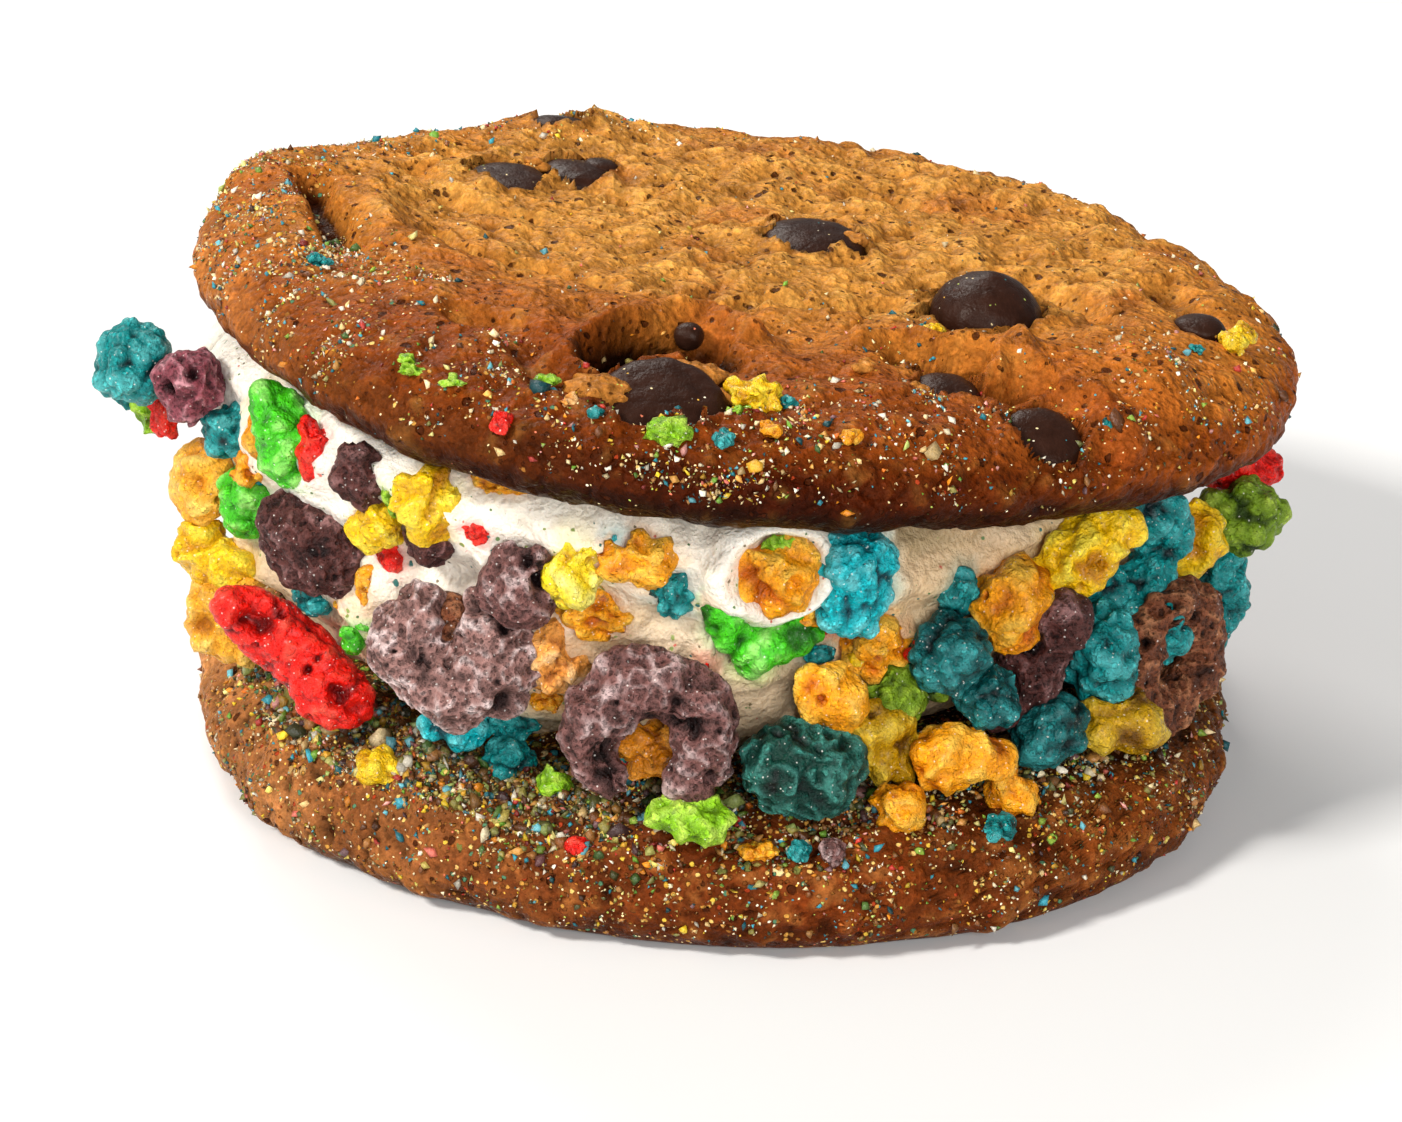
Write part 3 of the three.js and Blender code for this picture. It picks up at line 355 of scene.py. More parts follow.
def normals_of(points, faces):
    _, across = across_faces(points, faces)
    total = summed(faces.ravel(), np.repeat(across, 3, 0), len(points))
    return total / np.maximum(np.linalg.norm(total, axis=1, keepdims=True), 1e-12)


def smoothed(points, faces, rounds):
    """Points drawn halfway to the mean of their neighbours, in each round."""
    start = faces.ravel()
    end = faces[:, [1, 2, 0]].ravel()
    count = np.bincount(start, minlength=len(points))[:, None]
    for _ in range(rounds):
        points = points + 0.5 * (summed(start, points[end], len(points)) / count - points)
    return points


def placed(name, data):
    """A new object with this data, in the scene."""
    made = bpy.data.objects.new(name, data)
    bpy.context.scene.collection.objects.link(made)
    return made


def mesh_of(name, points, faces, tint, smooth=True):
    """A mesh of triangles from points in millimetres, with a colour, and how dusty it is, at each point."""
    mesh = bpy.data.meshes.new(name)
    mesh.vertices.add(len(points))
    mesh.vertices.foreach_set("co", (points * MM).astype(np.float32).ravel())
    mesh.loops.add(faces.size)
    mesh.loops.foreach_set("vertex_index", faces.astype(np.int32).ravel())
    mesh.polygons.add(len(faces))
    mesh.polygons.foreach_set("loop_start", np.arange(0, faces.size, 3, dtype=np.int32))
    mesh.update(calc_edges=True)
    if smooth:
        mesh.shade_smooth()
    colours = np.zeros((len(points), 4), np.float32)
    colours[:, : tint.shape[1]] = np.clip(tint, 0, 1)
    attribute = mesh.attributes.new("Tint", "FLOAT_COLOR", "POINT")
    attribute.data.foreach_set("color", colours.ravel())
    return mesh


def add_piece(name, points, faces, tint, material, slot, nodes=(), smooth=True):
    """A piece of the sandwich, which stands for the named nodes."""
    mesh = mesh_of(name, points, faces, tint, smooth)
    mesh.materials.append(material)
    piece = placed(name, mesh)
    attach(piece, "root")
    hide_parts(*nodes)


def joined(parts):
    """Several (points, faces, tint) as one."""
    starts = np.cumsum([0] + [len(points) for points, _, _ in parts])
    return (
        np.concatenate([points for points, _, _ in parts]),
        np.concatenate([faces + start for (_, faces, _), start in zip(parts, starts)]),
        np.concatenate([tint for _, _, tint in parts]),
    )


def ball(subdivisions):
    """Points and triangles of a unit ball."""
    made = bmesh.new()
    bmesh.ops.create_icosphere(made, subdivisions=subdivisions, radius=1)
    points = np.array([v.co for v in made.verts])
    faces = np.array([[v.index for v in face.verts] for face in made.faces])
    made.free()
    return points, faces


def remeshed(node, voxel):
    """A CAD node's surface as small even triangles."""
    copy = placed("remeshed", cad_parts[node].data.copy())
    remesh = copy.modifiers.new("remesh", "REMESH")
    remesh.mode = "VOXEL"
    remesh.voxel_size = voxel * MM
    mesh = copy.evaluated_get(bpy.context.evaluated_depsgraph_get()).to_mesh()
    mesh.calc_loop_triangles()
    points = np.zeros(len(mesh.vertices) * 3, np.float32)
    mesh.vertices.foreach_get("co", points)
    faces = np.zeros(len(mesh.loop_triangles) * 3, np.int32)
    mesh.loop_triangles.foreach_get("vertices", faces)
    bpy.data.objects.remove(copy)
    return points.reshape(-1, 3).astype(float) / MM, faces.reshape(-1, 3)


# ---------------------------------------------------------------- materials
COAT_ROUGHNESS = 0.25


class Look:
    """A material in the making. Sizes are in millimetres, and an input is given a socket or a value."""

    def __init__(self, name, roughness, specular, subsurface=0, radius=(1, 0.5, 0.3), scale=1, coat=0):
        self.material = bpy.data.materials.new(name)
        self.material.use_nodes = True
        self.tree = self.material.node_tree
        self.shader = self.tree.nodes["Principled BSDF"]
        self.feed(self.shader, {
            "Roughness": roughness, "Specular IOR Level": specular, "Subsurface Weight": subsurface,
            "Subsurface Radius": radius, "Subsurface Scale": scale * MM, "Coat Weight": coat,
            "Coat Roughness": COAT_ROUGHNESS,
        })
        own = self.add("ShaderNodeAttribute", attribute_name="Tint").outputs
        self.tint, self.dust = own["Color"], own["Alpha"]
        self.place = self.add("ShaderNodeTexCoord").outputs["Object"]

    def feed(self, node, inputs):
        for key, given in dict(inputs).items():
            if isinstance(given, bpy.types.NodeSocket):
                self.tree.links.new(given, node.inputs[key])
            else:
                node.inputs[key].default_value = given

    def add(self, kind, inputs=(), **settings):
        node = self.tree.nodes.new(kind)
        for key, value in settings.items():
            setattr(node, key, value)
        self.feed(node, inputs)
        return node

    def noise(self, size, detail, roughness=0.6):
        inputs = {"Vector": self.place, "Scale": 1 / (size * MM), "Detail": detail, "Roughness": roughness}
        return self.add("ShaderNodeTexNoise", inputs).outputs["Fac"]

    def ramped(self, value, low, high, bottom, top):
        """A value between `low` and `high`, taken to run from `bottom` to `top`."""
        inputs = {"Value": value, "From Min": low, "From Max": high, "To Min": bottom, "To Max": top}
        return self.add("ShaderNodeMapRange", inputs).outputs["Result"]

    def mixed(self, factor, first, second, way="MIX"):
        inputs = {0: factor, 6: first, 7: second}
        return self.add("ShaderNodeMix", inputs, data_type="RGBA", blend_type=way).outputs[2]

    def shaded(self, tint, value, low, high, darkest, lightest):
        """A colour made darker or lighter by a value."""
        return self.mixed(1, tint, self.ramped(value, low, high, darkest, lightest), "MULTIPLY")

    def coloured_by(self, value, colours):
        """One of several colours, by a value from 0 to 1."""
        ramp = self.add("ShaderNodeValToRGB", {"Fac": value})
        ramp.color_ramp.interpolation = "CONSTANT"
        while len(ramp.color_ramp.elements) < len(colours):
            ramp.color_ramp.elements.new(0.5)
        for element, (at, text) in zip(ramp.color_ramp.elements, colours):
            element.position = at
            element.color = (*colour(text), 1)
        return ramp.outputs["Color"]

    def bent_cells(self, size, bend=0.25, **settings):
        """Irregular cells about `size` across: a Voronoi texture on places that noise moves about."""
        noise = self.add("ShaderNodeTexNoise", {"Vector": self.place, "Scale": 1 / (size * 0.6 * MM)})
        moved = self.mixed(size * bend * MM, self.place, noise.outputs["Color"], "LINEAR_LIGHT")
        return self.add("ShaderNodeTexVoronoi", {"Vector": moved, "Scale": 1 / (size * MM)}, **settings)

    def specks(self, size, radius, share):
        """Where scattered irregular specks lie, and a random value for each."""
        grains = self.bent_cells(size).outputs
        random = self.add("ShaderNodeSeparateColor", {"Color": grains["Color"]}).outputs
        chosen = self.add("ShaderNodeMath", {0: random["Green"], 1: share}, operation="LESS_THAN").outputs[0]
        dot = self.ramped(grains["Distance"], radius * 0.7, radius, 1, 0)
        return self.add("ShaderNodeMath", {0: dot, 1: chosen}, operation="MULTIPLY").outputs[0], random["Red"]

    def dusted(self, base, colours, size, radius, share, low=0):
        """Irregular grains over a colour, where the surface's dust is more than `low`, and where they lie."""
        where, value = self.specks(size, radius, self.ramped(self.dust, low, 1, 0, share))
        return self.mixed(where, base, self.coloured_by(value, colours)), where

    def finished(self, tint, bumps):
        """The material, with a colour and bumps of (height, depth, strength), the last one finest."""
        above = {}
        for height, depth, strength in bumps:
            inputs = {"Height": height, "Distance": depth * MM, "Strength": strength, **above}
            above = {"Normal": self.add("ShaderNodeBump", inputs).outputs["Normal"]}
        self.feed(self.shader, {"Base Color": tint, **above})
        return self.material


# Colours of grains, each with the share from which it starts.
SUGAR = [
    (0, "#f5dfa8"), (0.45, "#fff3d6"), (0.6, "#e9b44a"), (0.7, "#3d9aa6"), (0.8, "#b4c860"), (0.9, "#dd7a5c"),
]
HERBS = [(0, "#5d7a46"), (0.3, "#2f6a63"), (0.5, "#8a9a52"), (0.7, "#7a6a4c"), (0.85, "#c86a58")]
SAND = [
    (0, "#8c5a26"), (0.3, "#c08a3e"), (0.5, "#6e3c18"), (0.66, "#e0b868"), (0.78, "#4f7a5c"),
    (0.86, "#a03a1c"), (0.93, "#d8b040"),
]
BED = [
    (0, "#6a6a34"), (0.2, "#3c3418"), (0.34, "#a88450"), (0.46, "#2c6a70"), (0.56, "#e0c48c"),
    (0.66, "#7d9a3c"), (0.76, "#b0582c"), (0.84, "#5a3a2a"), (0.92, "#d8b040"),
]
# painted shade inside the dough's pores
PORE_SHADE_TINT = (*colour("#3a1606"), 1)
# sugar specks on the cereal, whitened partly as painted glints
SUGAR_GLINT_TINT = (1, 0.95, 0.88, 1)


def crust_material():
    """Baked dough: fine skin and pores, the pores darkened with painted shade, sugar stuck to it, and a bed
    of crumbs where it is dustiest.
    """
    look = Look("crust", 0.5, 0.07, 0.1, (1, 0.4, 0.15))
    look.feed(look.shader, {"Specular Tint": (1, 0.7, 0.45, 1)})
    skin, grain, blotch = look.noise(0.36, 3), look.noise(0.95, 3), look.noise(3.2, 4)
    crumb = look.bent_cells(0.8, 0.3, feature="SMOOTH_F1")
    look.feed(crumb, {"Smoothness": 0.5})
    bead = look.ramped(crumb.outputs["Distance"], 0.05, 0.6, 1, 0)
    tint = look.tint
    for value, darkest, lightest in ((skin, 0.8, 1.24), (grain, 0.78, 1.22), (blotch, 0.8, 1.18)):
        tint = look.shaded(tint, value, 0.34, 0.66, darkest, lightest)
    # painted shade between the round grains, and a faint painted highlight on their tops
    tint = look.shaded(tint, bead, 0, 0.7, 0.86, 1.05)
    hollows = []
    for size, radius, share, depth in ((0.85, 0.25, 0.4, 0.75), (1.9, 0.22, 0.45, 0.9)):
        where, _ = look.specks(size, radius, share)
        # pores darkened with painted shade
        tint = look.mixed(look.ramped(where, 0, 1, 0, depth), tint, PORE_SHADE_TINT)
        hollows.append(look.ramped(where, 0, 1, 1, 0))
    tint, bed = look.dusted(tint, BED, 1, 0.5, 0.95, 0.62)
    tint, sand = look.dusted(tint, SAND, 0.55, 0.44, 0.95, 0.2)
    tint, _ = look.dusted(tint, SUGAR, 0.34, 0.32, 0.22)
    look.feed(look.shader, {"Roughness": look.ramped(skin, 0.36, 0.64, 0.62, 0.34)})
    return look.finished(tint, [
        (blotch, 0.5, 0.6), (grain, 0.34, 0.7), (bead, 0.3, 0.8), (hollows[0], 0.2, 0.9),
        (hollows[1], 0.4, 0.9), (bed, 0.5, 0.9), (sand, 0.25, 0.9), (skin, 0.09, 0.8),
    ])


# A form's small cells: width, how light the middles and the edges are, which is painted shade where they sink
# and painted highlight where they stand out, and the middles' depth, which is negative where they stand out.
CELLS = {
    "foam": (0.44, 0.5, 1.22, 0.24), "beads": (0.6, 1.16, 0.6, -0.24), "crags": (0.6, 1.16, 0.6, -0.24),
    "knobs": (0.65, 1.12, 0.72, -0.2), "crests": (0.65, 1.12, 0.72, -0.2), "pores": (0.65, 1.12, 0.72, -0.2),
    "crinkles": (0.62, 1.08, 0.74, -0.16), "dough": (0.62, 1.08, 0.74, -0.16),
}


def crisp_material(name, form, roughness, glow, coat):
    """Puffed cereal, sugared all over, with painted shade and highlight on its small cells and sugar specks
    that are partly painted glints.
    """
    cell, middle, edge, dent = CELLS[form]
    look = Look(name, roughness, 0.24, glow, (1, 0.8, 0.6), 0.4, coat)
    away = look.bent_cells(cell, 0.45).outputs["Distance"]
    fine, blotch = look.noise(0.28, 3, 0.65), look.noise(1.1, 4, 0.65)
    tint = look.shaded(look.tint, fine, 0.34, 0.66, 0.82, 1.2)
    tint = look.shaded(tint, blotch, 0.34, 0.66, 0.84, 1.18)
    # painted shade in the cells' hollows and painted highlight on their crests
    tint = look.shaded(tint, away, 0.12, 0.55, middle, edge)
    # sugar specks, whitened partly as painted glints
    sugar, _ = look.specks(0.3, 0.3, 0.09)
    tint = look.mixed(look.ramped(sugar, 0, 1, 0, 0.5), tint, SUGAR_GLINT_TINT)
    look.feed(look.shader, {"Roughness": look.ramped(fine, 0.34, 0.66, roughness + 0.2, roughness - 0.08)})
    height = look.ramped(away, 0.1, 0.6, *((0, 1) if dent > 0 else (1, 0)))
    return look.finished(tint, [(blotch, 0.6, 0.7), (height, abs(dent), 1), (fine, 0.22, 1)])


def cream_material():
    """Vanilla ice cream: smooth, softly lit through, with specks of crumbs near the cereal."""
    look = Look("cream", 0.36, 0.35, 0.35, (1, 0.85, 0.7), 0.8)
    soft, fine = look.noise(2.4, 4, 0.55), look.noise(0.6, 4)
    air = look.add("ShaderNodeTexVoronoi", {"Vector": look.place, "Scale": 1 / (1.3 * MM)})
    tint = look.shaded(look.tint, soft, 0.3, 0.7, 0.88, 1.08)
    tint = look.shaded(tint, fine, 0.3, 0.7, 0.94, 1.05)
    tint, _ = look.dusted(tint, HERBS, 1.1, 0.26, 0.2)
    tint, _ = look.dusted(tint, HERBS, 0.5, 0.3, 0.1)
    look.feed(look.shader, {"Roughness": look.ramped(soft, 0.35, 0.65, 0.26, 0.5)})
    bubble = look.ramped(air.outputs["Distance"], 0.06, 0.2, 0, 1)
    return look.finished(tint, [(soft, 1.1, 0.8), (bubble, 0.2, 0.5), (fine, 0.25, 0.8)])


def chocolate_material():
    """Dark chocolate with a faint bloom and a few specks of sugar."""
    look = Look("chocolate", 0.4, 0.14)
    look.feed(look.shader, {"Specular Tint": (1, 0.88, 0.8, 1)})
    bloom, fine = look.noise(1.6, 5, 0.65), look.noise(0.35, 4, 0.5)
    tint = look.shaded(look.tint, bloom, 0.35, 0.7, 0.8, 1.35)
    tint, _ = look.dusted(tint, SUGAR, 0.5, 0.22, 0.16)
    look.feed(look.shader, {"Roughness": look.ramped(bloom, 0.35, 0.7, 0.3, 0.5)})
    return look.finished(tint, [(bloom, 0.3, 0.6), (fine, 0.08, 0.8)])


def crumb_material():
    """Loose crumbs and sugar: each has its own tint."""
    look = Look("crumbs", 0.38, 0.4)
    fine = look.noise(0.2, 3, 0.5)
    return look.finished(look.shaded(look.tint, fine, 0.3, 0.7, 0.7, 1.25), [(fine, 0.12, 0.8)])


# ---------------------------------------------------------------- forms that the solids share
def outline(cookie, angle):
    """Radius of a cookie's uneven outline. The angle is from +X."""
    share = np.ones_like(angle)
    for cycles, c, s in cookie["waves"]:
        share += c * np.cos(cycles * angle) + s * np.sin(cycles * angle)
    return cookie["radius"] * share


def heel_width(cookie, angle):
    """Width of the rounded lower edge. The angle is from +X."""
    toward = np.cos(angle - math.radians(cookie["heel_toward"]))
    return cookie["heel"] + cookie["heel_more"] * (1 + toward) / 2


def dish(edge, r):
    """Depth of the upper cookie's sunk middle."""
    return DISH_DEPTH * (1 - smoothstep(DISH_FROM, DISH_TO, r / edge))


def relief(hills, x, y):
    """Height that hills of (place, half widths, height) add over a place."""
    return sum(h * np.exp(-(((x - hx) / wx) ** 2) - ((y - hy) / wy) ** 2) for hx, hy, wx, wy, h in hills)


def cookie_skin(cookie, angle, share, turn, upper):
    """Points of a cookie's skin and the directions out of it."""
    radius = outline(cookie, angle)
    width = np.where(upper, cookie["shoulder"], heel_width(cookie, angle))
    rise = np.where(upper, cookie["thickness"] - cookie["belly"], -cookie["belly"])
    out = np.stack([np.sin(turn) * abs(rise), np.cos(turn) * np.sign(rise) * width])
    out /= np.linalg.norm(out, axis=0)
    r = (radius - width) * share + np.sin(turn) * width
    hills = relief(cookie["hills"], r * np.cos(angle), r * np.sin(angle))
    if cookie["covered"]:
        hills *= smoothstep(cookie["covered"], cookie["covered"] + COVER_FADE, r)
    else:
        hills -= dish(radius, r)
    lift = np.where(upper, hills * np.maximum(np.cos(turn), 0) ** RELIEF_FADE, 0)
    reach = r + out[0] * lift
    height = cookie["belly"] + np.cos(turn) * rise + out[1] * lift
    points = np.stack([np.cos(angle) * reach, np.sin(angle) * reach, height], 1)
    normals = np.stack([np.cos(angle) * out[0], np.sin(angle) * out[0], out[1]], 1)
    return points, normals


def face_height(cookie, x, y):
    """Height of a cookie's upper face over a place."""
    edge = outline(cookie, np.arctan2(y, x))
    r = np.hypot(x, y)
    turn = np.arcsin(np.clip((r - edge + cookie["shoulder"]) / cookie["shoulder"], 0, 1))
    sunk = 0 if cookie["covered"] else dish(edge, r)
    lift = (relief(cookie["hills"], x, y) - sunk) * np.cos(turn) ** RELIEF_FADE
    return cookie["belly"] + np.cos(turn) * (cookie["thickness"] - cookie["belly"]) + lift


# The upper cookie's frame: its turn, and its origin, the middle of the underside.
LEAN = Matrix.Rotation(math.radians(LEAN_RIGHT), 3, "Y") @ Matrix.Rotation(-math.radians(LEAN_BACK), 3, "X")
TURN = np.array(LEAN)
ORIGIN = np.array(UPPER_MIDDLE) - TURN[:, 2] * UPPER["thickness"] / 2


def to_upper(points):
    return points @ TURN.T + ORIGIN


def from_upper(points):
    return (points - ORIGIN) @ TURN


def upper_underside(x, y):
    """Height of the upper cookie's underside over a place."""
    normal = TURN[:, 2]
    return ORIGIN[2] - (normal[0] * (x - ORIGIN[0]) + normal[1] * (y - ORIGIN[1])) / normal[2]


def cream_radius(angle, share):
    """The ice cream's radius. The angle is from the front towards +X."""
    plan = CREAM_RADIUS - CREAM_TO_LEFT * np.sin(angle) - CREAM_FLATTENED * np.cos(2 * angle)
    top = upper_underside(CREAM_RADIUS * np.sin(angle), -CREAM_RADIUS * np.cos(angle))
    level = LOWER["thickness"] + (top - LOWER["thickness"]) * share
    waves = sum(
        height * np.sin(cycles * angle + math.radians(phase) + 3 * share)
        for cycles, height, phase in CREAM_WAVES
    )
    plan = plan + waves * np.sin(np.pi * np.clip(share, 0, 1)) ** 0.5
    for at, height, half_width, half_height, amount in CREAM_SWELLINGS:
        away = np.sin((angle - math.radians(at)) / 2) * 2 / math.radians(half_width)
        plan = plan + amount * np.exp(-(away**2) - ((level - height) / half_height) ** 2)
    return plan + np.interp(share, *zip(*CREAM_PROFILE))


# ---------------------------------------------------------------- cookies
# Rings of points over a cookie's face, shoulder and heel, and the face's crowding.
UPPER_RINGS, LOWER_RINGS = (94, 34, 13, 1), (36, 44, 16, 0.6)
UNDERSIDE_SHARES = (0.97, 0.9, 0.7, 0.4)
UPPER_UNDERSIDE, LOWER_UNDERSIDE = ("#6a3512", 0.15), ("#5a2c0f", 0.1)
# The upper cookie's rim and what is low on it, and the lower cookie, by side: partly browning, partly painted
# light, lightest on the left and darkest at the front. What is low on the rim is painted shade where it faces
# down.
RIM_TONE_AND_LIGHT = {"front": "#4e1b05", "left": "#b46e34", "right": "#9a4a10", "back": "#b87032"}
RIM_SHADED_BELOW = {"front": "#280b02", "left": "#6a3410", "right": "#481b05", "back": "#5e2c0e"}
LOWER_TONE_AND_LIGHT = {"front": "#6a2c0c", "left": "#c4844c", "right": "#86481a", "back": "#74401c"}
BED_SHADE_COLOUR, BED_FROM, BED_TO = "#22140a", 38, 43.5  # the bed under the crumbs by the ice cream, darkened with painted shade
GOLDEN_MIDDLE, GOLDEN_HALF = (3, 12), (37, 27)  # the upper cookie's crumbly golden middle
FOLD_SCALE = 1.25
# The dough round a chip: how open it is, as a share of the chip's half width, how ragged, how far it is sunk
# below the chip, and the lip round it.
CHIP_OPENING, CHIP_RAGGED, CHIP_SUNK, CHIP_LIP = 0.86, 0.42, 0.6, 0.35
WIDE_OPENINGS = {"chip_right": 1.25, "chip_front": 1.0}
CHIP_SWELL = {"chip_right": 1.4}
RAY_HEIGHT = 15  # from which rays look down for a chip


def disc_grid(rings):
    """A square grid bent into a disc: each point's ring and angle, and the triangles."""
    side = np.arange(-rings, rings + 1)
    i, j = (axis.ravel() for axis in np.meshgrid(side, side, indexing="ij"))
    wide = abs(i) >= abs(j)
    beside = j / np.where(i == 0, 1, i) * (np.pi / 4) + np.pi * (i < 0)
    above = np.pi / 2 - i / np.where(j == 0, 1, j) * (np.pi / 4) + np.pi * (j < 0)
    angle = np.where(wide, beside, above)
    at = np.arange(len(i)).reshape(len(side), -1)
    a, b, c, d = at[:-1, :-1].ravel(), at[1:, :-1].ravel(), at[1:, 1:].ravel(), at[:-1, 1:].ravel()
    faces = np.concatenate([np.stack([a, b, c], 1), np.stack([a, c, d], 1)])
    return np.maximum(abs(i), abs(j)), angle % (2 * np.pi), faces


def cookie_grid(cookie, face_rings, shoulder_rings, heel_rings, crowding):
    """A cookie without its underside: points, outward directions, triangles, and each point's ring and angle.

    The face's rings lie closer together towards its edge where the crowding is below 1.
    """
    ring, angle, faces = disc_grid(face_rings + shoulder_rings + heel_rings)
    share = np.minimum(ring / face_rings, 1) ** crowding
    past_face = np.clip((ring - face_rings) / shoulder_rings, 0, 1)
    past_shoulder = np.clip((ring - face_rings - shoulder_rings) / heel_rings, 0, 1)
    upper = ring <= face_rings + shoulder_rings
    turn = np.where(upper, past_face, 1 - past_shoulder) * (np.pi / 2)
    points, normals = cookie_skin(cookie, angle, share, turn, upper)
    return points, normals, faces, ring, angle


def closed_below(points, faces, ring, angle, tint, underside):
    """The same body closed by rings across its flat underside, which has a tint and dust of its own."""
    last = np.flatnonzero(ring == ring.max())
    rim = last[np.argsort(angle[last])]
    rows = [rim]
    added = []
    total = len(points)
    for share in UNDERSIDE_SHARES:
        added.append(points[rim] * np.array([share, share, 1]))
        rows.append(np.arange(total, total + len(rim)))
        total += len(rim)
    made = [faces]
    for outer, inner in zip(rows, rows[1:]):
        made.append(np.stack([outer, inner, np.roll(inner, -1)], 1))
        made.append(np.stack([outer, np.roll(inner, -1), np.roll(outer, -1)], 1))
    middle = np.array([[0, 0, points[rim, 2].mean()]])
    made.append(np.stack([rows[-1], np.full(len(rim), total), np.roll(rows[-1], -1)], 1))
    tint = np.concatenate([tint, plain(*underside, total + 1 - len(points))])
    return np.concatenate([points, *added, middle]), np.concatenate(made), tint


def crust_relief(points, crumbly, seed):
    """Fine relief of baked dough: crumbly in the middle, smoother and wrinkled on the rim."""
    swell = 0.7 * ripple(points, 8.5, seed) + 0.65 * ripple(points, 4.2, seed + 1)
    rough = 0.3 * ripple(points, 2.1, seed + 2) + 0.14 * ripple(points, 1.15, seed + 3)
    bent = points + 0.7 * np.stack([ripple(points, 2.2, seed + 10 + k) for k in range(3)], 1)
    crumbs = 0.5 * lobes(bent, 3, seed + 4) + 0.4 * lobes(bent, 1.6, seed + 5) - 0.5
    holes = pits(bent, 3.3, seed + 6, 0.72, 0.6)
    pores = pits(bent, 1.6, seed + 7, 0.38, 0.5)
    creases = ridges(points * np.array([1, 1, 1.5]), 4.2, seed + 8, 8)
    middle = crumbs - 0.9 * holes - 0.42 * pores + rough - 0.25 * creases
    open_rim = ripple(points, 9, seed + 9) > 0.2
    rim = 0.25 * crumbs - 0.3 * pores - 0.4 * holes * open_rim - 0.35 * creases + rough
    fine = middle * crumbly + rim * (1 - crumbly)
    return swell * (0.55 + 0.45 * crumbly) + fine, fine


def away_from(points, places):
    """Distance from each point to the line past the places."""
    nearest = np.full(len(points), 99.0)
    for start, end in zip(np.array(places), np.array(places)[1:]):
        along = end - start
        share = np.clip(((points - start) @ along) / (along @ along), 0, 1)
        nearest = np.minimum(nearest, np.hypot(*(points - start - share[:, None] * along).T))
    return nearest


def folds_at(points):
    """Height that the folds add to the upper cookie's face."""
    warped = points[:, :2] + np.stack([ripple(points, 5, 50), ripple(points, 5, 51)], 1) * 0.9
    total = np.zeros(len(points))
    for height, half_width, places in FOLDS:
        power = 2 if height > 0 else 4
        total += FOLD_SCALE * height * np.exp(-((away_from(warped, places) / half_width) ** power))
    return total


def chip_tree(node):
    """A chip's surface, for rays, in millimetres."""
    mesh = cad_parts[node].data
    faces = [tuple(face.vertices) for face in mesh.polygons]
    return bvhtree.BVHTree.FromPolygons([v.co / MM for v in mesh.vertices], faces)


def round_chips(points, local, facing_up, lift, ragged):
    """The dough's lift, below each chip where that shows and over it elsewhere, and how near a chip is."""
    up = TURN[:, 2]
    near = np.zeros(len(points))
    for node, (x, y, width) in CHIPS.items():
        tree = chip_tree(node)
        away = np.hypot(local[:, 0] - x, local[:, 1] - y) / (width / 2)
        for k in np.flatnonzero((away < 1.5) & facing_up):
            start = points[k] + up * RAY_HEIGHT
            hit = tree.ray_cast(Vector(start), Vector(-up))
            edge = away[k] + CHIP_RAGGED * ragged[k] - WIDE_OPENINGS.get(node, CHIP_OPENING)
            above = RAY_HEIGHT - hit[3] if hit[0] else -9
            if edge < 0:
                lift[k] = min(lift[k], above - CHIP_SUNK) if hit[0] else lift[k] - CHIP_SUNK
                near[k] = 1
            else:
                lip = CHIP_LIP * math.exp(-((edge / 0.22) ** 2))
                lift[k] = max(lift[k] + 1.6 * lip, above + lip * 0.8)
                near[k] = math.exp(-((edge / 0.16) ** 2)) * 0.7
    return lift, near


def by_side(points, colours):
    """A colour blended from those of the four sides."""
    x, y = points[:, 0], points[:, 1]
    r = np.maximum(np.hypot(x, y), 1)
    shares = {"front": -y / r, "back": y / r, "left": -x / r, "right": x / r}
    weights = {side: np.clip(share, 0, 1) ** 2 for side, share in shares.items()}
    return sum(weight[:, None] * colour(colours[side]) for side, weight in weights.items())


def front_and_left(points, cookie):
    """How far to the front and to the left each point is, as shares of the cookie's radius."""
    return -points[:, 1] / cookie["radius"], -points[:, 0] / cookie["radius"]


def dust_on_top(points, share, side):
    """How dusty the upper cookie is: thick on its left and front rims."""
    front, left = front_and_left(points, UPPER)
    rim = smoothstep(0.68, 0.9, share)
    where = 0.16 + np.clip(0.14 * front, 0, 1) + np.clip(0.7 * left, 0, 1)
    clumps = np.clip(0.55 + 0.9 * ripple(points, 4.5, 92), 0.08, 1.3)
    return np.clip((0.03 + rim * where) * clumps * (1 - 0.35 * side), 0, 1)


def golden_share(points):
    """Distance from the golden middle, as a share of its ragged half widths."""
    away = (points[:, :2] - GOLDEN_MIDDLE) / GOLDEN_HALF
    return np.hypot(*away.T) + (0.16 * ripple(points, 9, 30) + 0.07 * ripple(points, 3, 31))


